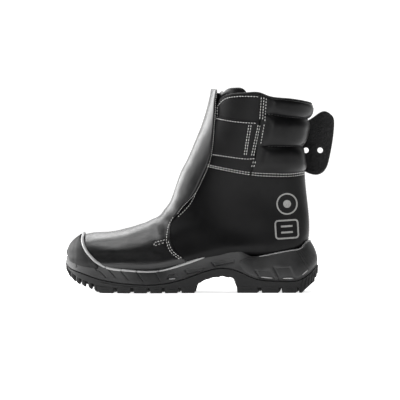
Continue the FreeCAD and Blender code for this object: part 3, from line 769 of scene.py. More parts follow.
def above_rim(line, depth):
    """The part of a line on the form that shows above the buried edge along the sole."""
    x, z = side_view(line[:, 0], line[:, 1])
    return line[z > rim_height(x) - depth]


def front_outline():
    """The edge of the vamp and the shield, which are one piece of leather."""
    rise = above_rim(edge(VAMP_EDGE + SHIELD_EDGE, lift=front_height), VAMP_BURIED - 1)
    low = under_rim(float(side_view(*rise[0])[0]) + 0.6, -139, LATERAL, VAMP_BURIED)
    toe_b = STATION_B[2] + 1
    half = np.vstack([low[::-1], rise])
    corner = half[-1]
    top = [(corner[0] * t, corner[1] + 1.6 * (1 - t)) for t in np.linspace(0.97, -0.97, 50)]
    toe = resample([(-half[0, 0], toe_b), (half[0, 0], toe_b)], 3.0)
    return np.vstack([half, top, mirror(half), toe[1:-1]])


# Rows of stitching, as lines in the side view.
VAMP_ROWS = [[(-31.5, 89.5), (-34.6, 85), (-37.6, 79), (-39.5, 71), (-40.3, 61.5)],
             [(-40.3, 61.2), (-35.6, 49.4), (-24.5, 40.4)]]
TACK_ROWS = [[(-54.5, 55.6), (-47, 58.4), (-42.5, 59.6)], [(-54.5, 59.6), (-47, 61.6), (-41.5, 63)],
             [(-54.8, 55.8), (-54.8, 59.4)]]
QUARTER_ROW = [(-5.5, 119.4), (-10.9, 108), (-16.4, 101), (-27.5, 90.2)]


def vamp_rows(side):
    rows = edges(VAMP_ROWS, side)
    return [*rows, beside(rows[1], 2.3 * side), *edges(TACK_ROWS, side)]


def shield_row(side):
    return beside(edge(SHIELD_EDGE, side, lift=front_height), -2.0 * side)


def front_leather():
    """The vamp and the shield, with the leather between them that bends at the fold."""
    rows = vamp_rows(LATERAL) + vamp_rows(MEDIAL)
    hem = [shield_row(side) for side in SIDES]

    def top(a, b, away):
        h = front_height(a, b) - rounded(away, 1.1)
        h = h + uneven(a, b, 26, 0.55) + uneven(a, b, 9, 0.12, 4.0)
        x, z = side_view(a, b)
        flex = hill(x, -47, 17) * hill(z, 82, 17)
        h = h + flex * (0.7 * np.sin((x * 0.9 + z * 0.42) / 3.4) * np.cos(a / 19) - 0.5)
        h = h - pulled(a, b, rows, 0.35, 1.3) - pulled(a, b, hem, 0.22, 1.1)
        return h + 0.5 * crease_share(a, b) * np.sin(b / 16 + a / 30)

    def bottom(a, b, away):
        return front_height(a, b) - VAMP_THICK - 0.2 * crease_share(a, b)

    piece = panel("vamp_and_shield", front_outline(), top, bottom, VAMP_LEATHER, 2.3)
    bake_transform(piece)
    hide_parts("vamp", "shield_crease", "front_shield")
    finish_piece(stitches("vamp_stitches", rows, front_thread(0.25)))
    across = np.linspace(-6, 6, 12)
    hem += [np.column_stack([across, SHIELD_TOP[1] - down + across * 0.1]) for down in (3.0, 5.2)]
    hems = stitches("shield_stitches", hem, front_thread(0.3), pitch=2.4, long=1.5, thick=0.26)
    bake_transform(hems)


# ---------------------------------------------------------------- quarters and their prints
seam_height = height_of(COLLAR_SEAM)
QUARTER_THICK = 1.8


def quarter_top(a, b):
    """The outside of the quarter, tucked in under the collar's seam."""
    x, z = side_view(a, b)
    tucked = step_up(z - seam_height(x), -0.5, 3.5)
    return -0.6 + uneven(a, b, 34, 0.7, 2.0) - 1.6 * tucked


def quarter_face(a, b):
    """The same, with the fullness at the ankle."""
    x, z = side_view(a, b)
    return quarter_top(a, b) + 0.8 * hill(x, 62, 34) * hill(z, 92, 26)


def quarter(name, side):
    """One side of the lower shaft, from under the vamp to the back seam."""
    hidden = [(-33, 100), (-24, 112), (-14.5, 126), (-6, 144), (-2, 156)]
    front = above_rim(edge([(x - 6.0, z) for x, z in VAMP_EDGE] + hidden, side), QUARTER_BURIED - 1)
    top_line = before_back(edge([(x, z + 6) for x, z in COLLAR_SEAM[1:]], side), 1.5)
    low = before_back(under_rim(float(side_view(*front[0])[0]) - 0.6, 131, side, QUARTER_BURIED), 1.5)
    back_a = side * (BACK - 0.3)
    back = resample([(back_a, top_line[-1, 1]), (back_a, low[-1, 1])], 1.6)
    outline = np.vstack([front, top_line[1:], back, low[::-1][:-1]])
    seam_b = np.linspace(back[-1, 1] + 4, back[0, 1] - 10, 40)
    rows = [edge(QUARTER_ROW, side), np.column_stack([np.full(40, back_a - side * 3.4), seam_b])]

    def top(a, b, away):
        return quarter_face(a, b) - rounded(away, 0.9) - pulled(a, b, rows, 0.3, 1.3)

    piece = panel("shaft_" + name, outline, top, lambda a, b, away: quarter_top(a, b) - QUARTER_THICK,
                  QUARTER_LEATHER, 2.6)
    finish_piece(piece, replaces=(name,))
    finish_piece(stitches(name + "_stitches", rows, lambda a, b: quarter_top(a, b) - 0.15))


def stroke(points, faces, line, width, closed=False):
    """Adds a flat printed stroke along a side-view line on the lateral quarter."""
    line = np.asarray(line, float)
    square = left_of(run_of(line, closed)) * width / 2
    corners = []
    for spot, lifts in ((line + square, (0.16, -0.25)), (line - square, (-0.25, 0.16))):
        a, b = np.array([locate(x, z, LATERAL) for x, z in spot]).T
        corners += [on_form(a, b, quarter_face(a, b) + lift) for lift in lifts]
    rings = np.stack(corners, 1)
    if closed:
        rings = np.concatenate([rings, rings[:1]])
    join_rings(faces, len(points), len(rings), 4, not closed)
    points.extend(rings.reshape(-1, 3).tolist())


def circle(x, z, radius, count=40):
    return [(x + radius * math.cos(2 * math.pi * k / count), z + radius * math.sin(2 * math.pi * k / count))
            for k in range(count)]


def round_box(x, z, half_x, half_z, radius, tilt=0.0):
    """A rectangle with rounded corners, tilted a little."""
    corners = []
    for corner, (sx, sz) in enumerate(((1, 1), (-1, 1), (-1, -1), (1, -1))):
        for k in range(5):
            angle = math.pi / 2 * (corner + k / 4)
            corners.append((sx * (half_x - radius) + radius * math.cos(angle),
                            sz * (half_z - radius) + radius * math.sin(angle)))
    corners = resample(corners + corners[:1], 1.0)[:-1]
    c, s = math.cos(tilt), math.sin(tilt)
    return [(x + u * c - w * s, z + u * s + w * c) for u, w in corners]


def prints():
    """Two plain marks on the lateral heel quarter: a ring with a dot, and a frame with two bars."""
    points, faces = [], []
    (ring_x, ring_z), (box_x, box_z), tilt = (103, 105.5), (102.8, 75.4), 0.06
    stroke(points, faces, circle(ring_x, ring_z, 12.0), 1.7, closed=True)
    stroke(points, faces, circle(ring_x, ring_z, 2.4, 20), 4.6, closed=True)
    stroke(points, faces, round_box(box_x, box_z, 13.6, 10.6, 3.4, tilt), 1.9, closed=True)
    for shift in (-3.6, 3.6):
        bar = [(box_x + t - shift * tilt, box_z + shift + t * tilt) for t in np.linspace(-7, 7, 12)]
        stroke(points, faces, bar, 2.2)
    finish_piece(make("heel_prints", points, faces, PRINT, 40))


# ---------------------------------------------------------------- upper side panels and the strap band
PANEL_PROUD = 1.2
BAND_THICK = 1.6
PANEL_ROWS = [[(21, 221.5), (22.6, 223.4), (26.4, 227.6), (31.2, 230.6), (38, 232.2), (54, 232.8), (68.8, 232.2)],
              [(20.4, 197), (20.8, 208), (21, 221.5)]]
SEAM_ROWS = [[(72.2, 232), (70.1, 205.6)], [(75.1, 232.2), (73.4, 205.2)], [(77.9, 231), (76.2, 203)],
             [(75.6, 200), (71.3, 176.2)]]
BAND_ROWS = [[(15.5, 164), (39.5, 160.6), (57.1, 159), (64.6, 159.4)],
             [(20.6, 206.9), (42.5, 202.8), (55, 201.7), (66, 201.1)],
             [(57.8, 199.4), (52.3, 163.4)], [(60.4, 199.4), (54.6, 163.2)],
             [(68.4, 199.4), (60.6, 162.6)], [(70.6, 199), (63.2, 162.4)]]
CORNER_ROWS = [[(63.1, 157), (60.4, 148.4)], [(65.6, 157), (62.9, 148.4)]]
LOWER_SEAM = [(6, 151.6), (11.9, 150), (30.2, 146.2), (48.7, 142.8), (67, 140.6), (85.3, 139.8),
              (106.8, 139.6), (120.7, 141.4), (133, 144.4)]


def panel_height(a, b):
    return PANEL_PROUD + uneven(a, b, 22, 0.35, 7.0)


def band_height(a, b):
    return panel_height(a, b) + BAND_THICK


def lower_seam(side):
    """The double row along the lower edge of the panel and the collar."""
    line = before_back(edge([(x, z + 1.4) for x, z in LOWER_SEAM], side))
    return [line, beside(line, 2.3 * -side)]


def upper_panel(name, side):
    """The leather in front of the collar on one side."""
    front, top_line, back, low = edges([PANEL_FRONT, PANEL_TOP, COLLAR_FRONT, COLLAR_SEAM[:5]], side)
    back_a = np.abs(back[0, 0])
    low = low[np.abs(low[:, 0]) < back_a]
    front = front[front[:, 1] > np.interp(np.abs(front[:, 0]), np.abs(low[:, 0]), low[:, 1])]
    outline = np.vstack([front, top_line[1:-1], back[::-1], low[::-1]])
    rows = edges(PANEL_ROWS + SEAM_ROWS[:2] + CORNER_ROWS, side)
    rows += [row[np.abs(row[:, 0]) < back_a - 0.2] for row in lower_seam(side)]

    def top(a, b, away):
        return panel_height(a, b) - rounded(away, 1.2) - pulled(a, b, rows, 0.35, 1.2)

    piece = panel("side_" + name, outline, top, even(-0.9), QUARTER_LEATHER, 2.3)
    finish_piece(piece, replaces=(name,))
    finish_piece(stitches(name + "_stitches", rows, lambda a, b: panel_height(a, b) - 0.1))


def strap_band():
    """The closure band sewn across the upper panels and round the front under the shield."""
    high, end, low = edges([STRAP_TOP, STRAP_END, STRAP_BOTTOM])
    half = np.vstack([high, end[1:], low[1:]])
    rows = edges(BAND_ROWS, LATERAL) + edges(BAND_ROWS, MEDIAL)

    def top(a, b, away):
        x, z = side_view(a, b)
        hump = 0.5 * hill(z, 183, 14) * hill(x, 36, 18)
        return band_height(a, b) + hump - rounded(away, 1.3) - pulled(a, b, rows, 0.4, 1.2)

    piece = panel("closure_band", np.vstack([half, mirror(half)]), top, lambda a, b, away: panel_height(a, b) - 0.6,
                  QUARTER_LEATHER, 2.3)
    finish_piece(piece, replaces=("strap_band",))
    thread = stitches("closure_band_stitches", rows, lambda a, b: band_height(a, b) - 0.15)
    finish_piece(thread)


# ---------------------------------------------------------------- padded collar
channel_high, channel_low = height_of(CHANNEL_HIGH), height_of(CHANNEL_LOW)
collar_top = height_of(COLLAR_TOP)
front_of_collar = through([(z, x) for x, z in COLLAR_FRONT], 1.0)
VALLEY, CREST = -0.4, 4.1                  # heights of the channels and of the rolls
ROLL_FOOT = 4.5                            # how far above the seam the lowest roll starts
TAPE_BOX, TAPE_LEVEL = ((74, 103), (161, 201)), 2.4    # where the strap's tape lies, and its height


def roll(z, low, high, sharp):
    """The crown of one padded roll between two channels."""
    t = np.clip((z - low) / np.maximum(high - low, 1e-6), 0, 1)
    return np.clip(1 - np.abs(2 * t - 1) ** (sharp + 0.6), 0, 1) ** 0.9


def collar_height(a, b):
    """Three padded rolls round the back of the shaft, each sunk at its channels and at the front seam."""
    x, z = side_view(a, b)
    foot, low, high, top = seam_height(x) + ROLL_FOOT, channel_low(x), channel_high(x), collar_top(x)
    crown = np.where(z > high, roll(z, high, top + 3.5, 2.6),
                     np.where(z > low, roll(z, low, high, 3.0), roll(z, foot, low, 2.6)))
    crown = np.where(z < foot, 0.0, crown)
    behind_front = x - np.interp(z, front_of_collar[:, 0], front_of_collar[:, 1])
    crown = crown * (0.12 + 0.88 * step_up(behind_front, 4.5, 17))
    pleats = 0.3 * crown ** 4 * np.sin(x / 2.7 + 1.4 * np.sin(z / 7))
    pleats = pleats * step_up(behind_front, 3, 8) * (1 - step_up(behind_front, 12, 30))
    h = VALLEY + (CREST - VALLEY) * crown + pleats + uneven(a, b, 24, 0.9, 11.0) * crown ** 3
    rear = step_up(np.abs(a), 0.70 * BACK, 0.97 * BACK)
    h = h - rear * np.interp(z, [147, 156, 168, 190, 222], [0.0, 3.6, 5.0, 2.6, 0.8])
    (x_low, x_high), (z_low, z_high) = TAPE_BOX
    in_tape = (a > 0) & (x > x_low) & (x < x_high) & (z > z_low) & (z < z_high)
    return np.where(in_tape, np.minimum(h, TAPE_LEVEL), h)


def collar():
    """The padded collar, sewn into three rolls."""
    up = edge(COLLAR_FRONT, lift=lambda a, b: 1.0)
    top_line = before_back(edge(COLLAR_TOP, lift=lambda a, b: 3.0))
    seam_line = before_back(edge(COLLAR_SEAM[4:], lift=lambda a, b: 1.0))
    seam_line = seam_line[np.abs(seam_line[:, 0]) > np.abs(up[0, 0]) + 0.5]
    outline = np.vstack([up, wrap(top_line)[1:], over_back(up), wrap(seam_line)[::-1]])
    channels = []
    for line in (CHANNEL_HIGH, CHANNEL_LOW):
        start = [(79.3, float(height_of(line)(79.3)))]
        channels.append(wrap(before_back(edge(start + [place for place in line if place[0] > 90]))))
    seams = [wrap(row[row[:, 0] < up[0, 0]]) for row in lower_seam(LATERAL)]
    fronts = edges(SEAM_ROWS[2:])
    seams += fronts + [over_back(row) for row in fronts]

    def height(a, b):
        return collar_height(np.where(a < -BACK, a + 2 * BACK, a), b)

    def top(a, b, away):
        return height(a, b) - rounded(away, 1.4) - pulled(a, b, channels + seams, 0.5, 1.1)

    def thread_height(a, b):
        return height(a, b) - 0.3

    piece = panel("padded_collar", outline, top, even(-3.9), COLLAR_LEATHER, 2.1, creases=channels)
    finish_piece(piece, replaces=(
        "collar_cover", "collar_foam_top", "collar_foam_middle", "collar_foam_lower"))
    finish_piece(stitches("collar_seam_stitches", seams, thread_height))
    sunk = stitches("collar_channel_stitches", channels, thread_height, pitch=3.6, long=2.2, thick=0.34)
    sunk.data.materials[0] = DARK_THREAD
    finish_piece(sunk)


def binding():
    """The binding along the top edge."""
    piece = bead("top_edge_binding", wrap(before_back(edge(TOP_LINE))), -2.4, 3.6, 1.5, EDGE_LEATHER)
    finish_piece(piece, replaces=("top_binding",))


# ---------------------------------------------------------------- tongue
def tongue():
    """The leather behind the shield."""
    half = edge(TONGUE_EDGE)
    top = resample([half[-1], (-half[-1, 0], half[-1, 1])], 2.0)
    low = resample([(-half[0, 0], half[0, 1]), half[0]], 2.0)
    outline = np.vstack([half, top[1:-1], mirror(half), low[1:-1]])

    def face(a, b, away):
        return -0.8 - rounded(away, 1.0) + uneven(a, b, 18, 0.5, 3.0)

    piece = panel("bellows_tongue", outline, face, even(-4.0), QUARTER_LEATHER, 3.0)
    finish_piece(piece, replaces=("tongue",))


def tongue_padding():
    """The padded top of the tongue, which shows above the opening."""
    half = edge(PAD_SIDE)
    (low_a, low_b), (high_a, high_b) = half[0], half[-1]
    crown = resample([half[-1], (0, high_b + 4), (-high_a, high_b)], 2.0)
    low = resample([(-low_a, low_b), (0, low_b - 16), half[0]], 2.0)
    outline = np.vstack([half, crown[1:-1], mirror(half), low[1:-1]])

    def crest(away):
        return np.sqrt(np.clip(1 - (1 - np.clip(away / 7, 0, 1)) ** 2, 0, 1))

    def top(a, b, away):
        return -9.4 + 3.2 * crest(away) + uneven(a, b, 12, 0.6)

    def bottom(a, b, away):
        return -9.6 - 3.6 * crest(away)

    piece = panel("tongue_cushion", outline, top, bottom, COLLAR_LEATHER, 2.6, sharp=60)
    finish_piece(piece, replaces=("tongue_pad",))


# ---------------------------------------------------------------- closure strap and pull ear
STRAP_THICK = 2.4
STRAP_START, ARM_END = 24.5, 113.5         # x of the arm's two ends
ARM_LOW, ARM_HIGH = 158.5, 203.5           # z of its two edges


def closure_strap():
    """The strap's arm, sewn on at its front end and held by tape at its back end."""
    corners = [(STRAP_START, ARM_LOW), (ARM_END, ARM_LOW), (ARM_END, ARM_HIGH), (STRAP_START, ARM_HIGH)]
    outline = resample(corners + corners[:1], 1.5)[:-1]
    rows = [resample([(27, z), (112, z)], 1.5) for z in (161.5, 200.5)]

    def top(a, b, away):
        return STRAP_THICK - rounded(away, 0.9) - pulled(a, b, rows, 0.3, 1.2)

    def bottom(a, b, away):
        tape = (a > 75) & (a < 102) & (b > 162) & (b < 200)
        return np.where(tape, 1.02, 0.05)

    arm = panel("closure_strap", outline, top, bottom, COLLAR_LEATHER, 2.4, on_strap)
    finish_piece(arm, "strap", ("strap_arm",))
    thread = stitches("closure_strap_stitches", rows, lambda a, b: np.full_like(a, STRAP_THICK - 0.15),
                      on_strap)
    finish_piece(thread, "strap")


def pull_ear():
    """The ear at the strap's end, with its two holes."""
    whole = through(EAR_EDGE, 1.4)
    ear_front = ARM_END - 0.1
    front = resample([whole[-1], (ear_front, ARM_LOW), (ear_front, ARM_HIGH), whole[0]], 1.4)
    holes = [np.array(circle(x, z, HOLE_RADIUS, 36)) for x, z in EAR_HOLES]

    def top(a, b, away):
        return STRAP_THICK + 0.35 - rounded(away, 1.5) + uneven(a, b, 15, 0.3, 5.0)

    piece = panel("pull_ear", np.vstack([whole, front[1:-1]]), top, lambda a, b, away: rounded(away, 1.2),
                  EAR_LEATHER, 2.0, on_strap, holes, 50)
    finish_piece(piece, "strap", ("strap_ear",))


# ---------------------------------------------------------------- sole unit
tread_height = height_of(TREAD_LINE)
TREAD_DEPTH = 6.6


def ground_height(x):
    """The underside's height above the floor: toe spring, arch and heel bevel."""
    return np.interp(x, *zip(*GROUND_LINE))


def sole_outline(step):
    """The sole's plan with outward directions, a step apart."""
    count = len(SOLE_PLAN)
    curve = smooth_curve(np.arange(3 * count + 1), SOLE_PLAN * 3 + SOLE_PLAN[:1])
    line = resample(curve(np.linspace(count, 2 * count, 4000)), step)[:-1]
    return line, -left_of(run_of(line, True))


def along_side(points, side, middle=2.0):
    """The indices of the points on one side of a middle y, in order of x."""
    chosen = np.nonzero((points[:, 1] - middle) * side > 0)[0]
    return chosen[np.argsort(points[chosen, 0])]


def behind(line, start_x):
    """The indices of the part of the sole's loop behind an x, in running order."""
    keep = line[:, 0] > start_x
    order = np.roll(np.arange(len(line)), -int(np.argmax(keep & ~np.roll(keep, 1))))
    return order[keep[order]]


def loop_wall(name, rows, line, outward, material, sharp=40.0):
    """A closed ring round the sole: rows of (height, outward shift) round its section."""
    points = np.vstack([np.column_stack([line + outward * out[:, None], z]) for z, out in rows + rows[:1]])
    faces = []
    join_rings(faces, 0, len(rows) + 1, len(line), False)
    return make(name, points, faces, material, sharp)


def groove(x, z, path, width, depth):
    """A narrow groove in the side view, sharp at its middle."""
    return -depth * np.clip(1 - distance_to(np.column_stack([x, z]), path) / width, 0, 1) ** 0.8


def pocket(x, z, corners, depth, soft=0.6):
    """A sunk field with steep sides and a deeper cut along its lower edges."""
    loop = np.array(corners, float)
    points = np.column_stack([x, z])
    away = distance_to(points, loop, True) * np.where(inside(points, loop), 1, -1)
    return groove(x, z, corners[:3], 1.0, depth) - depth * step_up(away, -soft / 2, soft)


WALL_GROOVES = [((-135.8, 44.4), (-122.9, 27.2)), ((-120.5, 26.8), (-111.7, 18.7)),
                ((-110.6, 30), (-100.1, 18.7)), ((-93.5, 25.6), (-85.4, 16.3)), ((-75, 24.4), (-67.1, 14.5)),
                ((-52.4, 24.4), (-47.5, 14.5)), ((-147, 54), (-148, 30))]
WALL_POCKETS = [[(-38.9, 17), (-36.5, 21.8), (-29.3, 23), (-28, 18.4)],
                [(-17.8, 27.4), (-14.5, 22.6), (3, 26.4), (5.6, 30.4), (-16, 29.5)],
                [(13.2, 36.4), (17.5, 31.6), (39.5, 36.2), (41.5, 39.6), (38, 40.4)],
                [(64.8, 26.8), (70.5, 17), (87, 17.6), (82.5, 27.6)],
                [(86.5, 30.6), (93.2, 16.6), (112.8, 17.6), (106.5, 31.2)]]
HEEL_FINS = [((118.2 + 2.9 * k, 50.5 + 0.7 * k), (127.5 + 2.2 * k, 29.5 + 3.4 * k)) for k in range(5)]


def wall_relief(x, z):
    """Everything that is moulded into the midsole's side."""
    cuts = [groove(x, z, path, 0.8, 1.1) for path in WALL_GROOVES]
    cuts += [pocket(x, z, corners, 1.2) for corners in WALL_POCKETS]
    cuts += [groove(x, z, path, 0.75, 0.8) for path in HEEL_FINS]
    return np.minimum(np.min(cuts, axis=0), 0)


heel_height = height_of(HEEL_EDGE)
CUP_START = 46


def to_upper(line, outward):
    """How far inside the sole's plan the upper stands at the height of the rim."""
    made = []
    for (x, y), n in zip(line, outward):
        z = float(rim_height(x))
        for inset in np.arange(0.5, 12.5, 0.5):
            spot = (x - n[0] * inset, y - n[1] * inset)
            side = LATERAL if spot[1] < 2 else MEDIAL
            if -157.6 < spot[0] < 134:
                surface = form_point(*locate(spot[0], z, side))
                if (spot[1] - surface[1]) * side < 0 and abs(surface[0] - spot[0]) < 1.5:
                    break
        made.append(inset)
    made = np.array(made)
    for _ in range(7):
        made = (np.roll(made, 1) + made * 2 + np.roll(made, -1)) / 4
    return made


# How far the rim stands out from the upper, and from the form at the toe; and the most that the wall leans.
RIM_CLEAR, TOE_CLEAR, MOST_LEAN = 1.6, 3.1, 8


def sole_wall(step):
    """The sole's plan, its outward directions and how far its wall leans in at the rim, a step apart."""
    line, outward = sole_outline(step)
    coarse, coarse_out = sole_outline(4.0)
    clear = TOE_CLEAR + (RIM_CLEAR - TOE_CLEAR) * step_up(coarse[:, 0], -132, -112)
    inset = np.clip(to_upper(coarse, coarse_out) - clear, 0, MOST_LEAN)
    inset = inset * (0.3 + 0.7 * step_up(coarse[:, 0], -159, -148))
    weight = np.exp(-((line[:, None, :] - coarse[None]) ** 2).sum(2) / 12)
    return line, outward, (weight * inset).sum(1) / weight.sum(1)


def leaning(inset, x, z):
    """The wall's lean at a height: none at the tread, all of the inset at the rim."""
    low, rim = tread_height(x), rim_height(x)
    return -inset * np.clip((z - low) / (rim - low), 0, 1.15) ** 1.7


def tube(points, faces, path, radius, turns=10):
    """Adds a round bar along a path in space, tapered at its ends; radius may vary along it."""
    run = run_of(path)
    side = np.cross(run, np.array([0.0, 0.0, 1.0]) + run[:, ::-1] * 0.01)
    side /= np.linalg.norm(side, axis=1, keepdims=True)
    up = np.cross(side, run)
    count = len(path)
    ends = np.minimum(np.arange(count), np.arange(count)[::-1])
    girth = radius * np.sqrt(np.clip((ends + 0.15) / 1.5, 0, 1))
    join_rings(faces, len(points), count, turns)
    for i in range(count):
        for turn in range(turns):
            angle = 2 * math.pi * turn / turns
            points.append(path[i] + (side[i] * math.cos(angle) + up[i] * math.sin(angle)) * girth[i])


BEAD_NOTCHES = [-112, -93.5, -75.7, -49]
BEAD_RADIUS, HEEL_HIGHLIGHT_RADIUS, LIP_RADIUS, MARK_RADIUS = 1.75, 0.95, 0.8, 0.75
# Each painted highlight bar on the wall: where it starts and ends in the side view, and how far it stands out.
WALL_HIGHLIGHT_MARKS = [((-37.4, 16.8), (-29.5, 17.4), -0.8), ((71.9, 19), (85.5, 17.6), 0.3),
              ((97.9, 17.4), (109.9, 17.4), 0.3), ((121.1, 21.6), (128.1, 27), 0.5)]
BEAD_START, BEAD_THINS, BEAD_END, HEEL_HIGHLIGHT_START = -116, -14, 24, 61
GUARD_PROUD = 3.0                          # height of the toe guard's edge
GUARD_ROUND = 22.0                         # the guard's edge is rounded this far from the front line


def guard_edge(side=LATERAL, lift=None):
    """The toe guard's edge on one side, rounded where it crosses the front line."""
    line = edge(BUMPER_EDGE, side, lift=lift)
    a, b = np.abs(line[:, 0]), line[:, 1]
    order = np.argsort(a)
    start, further = np.interp([GUARD_ROUND, GUARD_ROUND + 4], a[order], b[order])
    slope = (further - start) / 4
    line[:, 1] = np.where(a < GUARD_ROUND, start + slope * (a ** 2 / GUARD_ROUND - GUARD_ROUND) / 2, b)
    return line


def rim_bead():
    """The moulded bead over the toe guard's edge and along the rim, the line round the heel and the bars on the
    wall, all light grey as painted highlights.
    """
    points, faces, lip_points, lip_faces = [], [], [], []
    line, outward, inset = sole_wall(1.2)
    spots = np.column_stack([line - outward * (inset + 0.9)[:, None], rim_height(line[:, 0]) - 0.75])
    # The bead is real relief, and its light grey colour is a painted highlight.
    for side in SIDES:
        guard = guard_edge(side, lambda a, b: GUARD_PROUD)
        over = on_form(guard[:, 0], guard[:, 1], GUARD_PROUD)
        over = over[over[:, 2] > 37.5][::-1]
        half = spots[along_side(spots, side)]
        x = half[:, 0]
        centre = on_form(0.0, guard[-1, 1], GUARD_PROUD)[None]
        path = resample(np.vstack([centre, over, half[(x > BEAD_START) & (x < BEAD_END)]]), 1.0)
        for _ in range(12):
            path[1:-1] = (path[:-2] + path[1:-1] * 2 + path[2:]) / 4
        radius = BEAD_RADIUS * (1 - 0.75 * step_up(path[:, 0], BEAD_THINS, BEAD_END))
        for place in BEAD_NOTCHES:
            radius = radius - hill(path[:, 0], place, 0.7) * (path[:, 2] < 40)
        tube(points, faces, path, radius)
        lip = half[(x > BEAD_THINS) & (x < HEEL_HIGHLIGHT_START + 4)]
        tube(lip_points, lip_faces, lip - np.array([0, 0, 0.1]), LIP_RADIUS)
    # The line round the heel cup's upper edge: a thin light grey tube, a painted highlight.
    heel = spots[behind(line, HEEL_HIGHLIGHT_START)]
    tube(points, faces, heel,
         HEEL_HIGHLIGHT_RADIUS * (0.2 + 0.8 * step_up(heel[:, 0], HEEL_HIGHLIGHT_START, HEEL_HIGHLIGHT_START + 14)))
    # The bars along the pockets' lower edges: light grey tubes, painted highlights.
    for side in SIDES:
        order = along_side(line, side)
        for (x0, z0), (x1, z1), proud in WALL_HIGHLIGHT_MARKS:
            xs, zs = np.linspace(x0, x1, 10), np.linspace(z0, z1, 10)
            lean = leaning(np.interp(xs, line[order, 0], inset[order]), xs, zs)
            ys = side_reach(xs, side) + side * (proud + lean)
            tube(points, faces, np.column_stack([xs, ys, zs]), MARK_RADIUS)
    finish_piece(make("rim_bead", points, faces, RIM_PAINTED_HIGHLIGHT, 50))
    finish_piece(make("rim_lip", lip_points, lip_faces, MIDSOLE_FOAM, 50))


def midsole():
    """The moulded side wall, with everything that is cut into it."""
    line, outward, inset = sole_wall(0.9)
    x = line[:, 0]
    low, rim, flat = tread_height(x), rim_height(x), np.ones_like(x)
    rows = [(low - 0.2, flat * -9.0), (low - 0.2, flat * -1.6), (low + 0.2, flat * -0.9)]
    arch = hill(x, 24, 34)
    for t in np.linspace(0, 1, 39):
        z = low + 0.7 + (rim - low - 2.9) * t
        out = -0.1 - 0.9 * np.sin(math.pi * t) * (0.6 + 0.6 * arch) - 0.35 * t
        rows.append((z, out + wall_relief(x, z) + leaning(inset, x, z)))
    rows += [(rim - down, -back - inset) for down, back in ((1.6, 0.5), (0.9, 1.0), (0.8, 2.0), (1.2, 3.2))]
    rows += [(rim - 1.4, flat * -16.0), (low + 3, flat * -15.0)]
    piece = loop_wall("midsole_wall", rows, line, outward, MIDSOLE_FOAM, 32)
    finish_piece(piece, replaces=("midsole", "heel_bumper"))


def heel_cup():
    """The raised stabiliser round the heel, with its own upper edge."""
    line, outward, inset = sole_wall(0.9)
    order = behind(line, CUP_START)
    line, outward, inset = line[order], outward[order], inset[order]
    x = line[:, 0]
    low, high = tread_height(x) + 2.2, heel_height(x) - 0.6
    fade = step_up(x, CUP_START, CUP_START + 14)
    rows = []
    for t in np.linspace(0, 1, 25):
        z = low + (high - low) * t
        swell = (0.25 + 0.95 * math.sin(math.pi * min(t * 1.12, 1) ** 0.8) ** 0.6) * fade
        rows.append((z, -0.9 + 1.5 * swell + wall_relief(x, z) * 0.9 + leaning(inset, x, z)))
    lean = leaning(inset, x, high)
    rows += [(high + 0.5, -0.2 + 0.5 * fade + lean), (high + 0.4, -1.4 + lean), (high - 0.6, -5.0 + lean),
             (low, np.full_like(x, -8.0))]
    rings = np.stack([np.column_stack([line + outward * out[:, None], z]) for z, out in rows], 1)
    faces = []
    join_rings(faces, 0, len(line), len(rows))
    finish_piece(make("heel_stabiliser", rings.reshape(-1, 3), faces, MIDSOLE_FOAM, 32))


def side_reach(x, side):
    """How far the sole reaches to one side at x."""
    half = OUTLINE[0][along_side(OUTLINE[0], side, 5)]
    return np.interp(x, half[:, 0], half[:, 1])


def on_outline(x, y):
    """The nearest place on the sole's plan, its outward direction and the direction along it."""
    line, outward = OUTLINE
    near = np.argmin((line[:, 0] - x) ** 2 + (line[:, 1] - y) ** 2)
    return line[near], outward[near], np.array([-outward[near, 1], outward[near, 0]])


OUTLINE = sole_outline(1.0)


def plate_level(x, arch_depth):
    """The underside of the rubber between the lugs; under the arch, a depth above the ground line."""
    level = np.minimum(ground_height(x) + TREAD_DEPTH, tread_height(x) - 2.2)
    return np.where((x > -4) & (x < 41), ground_height(x) + arch_depth, level)


def tread_base():
    """The rubber rand round the sole and the plate that carries the lugs."""
    line, outward = sole_outline(1.1)
    x = line[:, 0]
    top, flat = tread_height(x) - 0.3, np.ones_like(x)
    base = np.minimum(plate_level(x, 0.6 + 0.9 * np.abs(np.sin(x / 3.4))), top - 1.5)
    line_high = np.interp(x, [-125, -100, -60, -40], [13.5, 9.2, 6.4, 6.4])
    line_deep = 0.5 * step_up(x, -122, -116) * (1 - step_up(x, -66, -58))
    rows = [(top, flat * -8.0), (top, flat * -0.7), (top - 0.5, flat * 0.1)]
    for t in np.linspace(0, 1, 9):
        z = top - 0.6 + (base + 0.4 - top + 0.6) * t
        rows.append((z, 0.3 - 0.4 * t + line_deep * hill(z, line_high, 0.45)))
    rows += [(base, flat * -0.8), (base, flat * -8.0)]
    rand = loop_wall("tread_rand", rows, line, outward, TREAD_RUBBER, 40)
    finish_piece(rand, replaces=("outsole",))

    def on_plan(a, b, h):
        a, b, h = arrays(a, b, h)
        return np.stack([a, b, plate_level(a, 1.5) + h], -1)

    piece = panel("tread_plate", line - outward * 3.0, even(1.6), even(0.1), TREAD_RUBBER, 4.0, on_plan)
    finish_piece(piece)


def lug(points, faces, corners, top, bevel=0.9, clear=0.0):
    """One tread block: a prism with a bevelled foot, on the ground or clear of it."""
    loop = resample(list(corners) + [corners[0]], 2.2)[:-1]
    area = np.sum(loop[:, 0] * np.roll(loop[:, 1], -1) - np.roll(loop[:, 0], -1) * loop[:, 1])
    out = left_of(run_of(loop, True)) * (-1 if area > 0 else 1)
    ground = ground_height(loop[:, 0]) + clear
    level = np.maximum(top(loop[:, 0]), ground + 1.6)
    join_rings(faces, len(points), 4, len(loop))
    for z, inset in ((level, -0.5), (ground + bevel, 0.0), (ground + 0.2, bevel * 0.6), (ground, bevel)):
        points.extend(np.column_stack([loop - out * inset, z]).tolist())


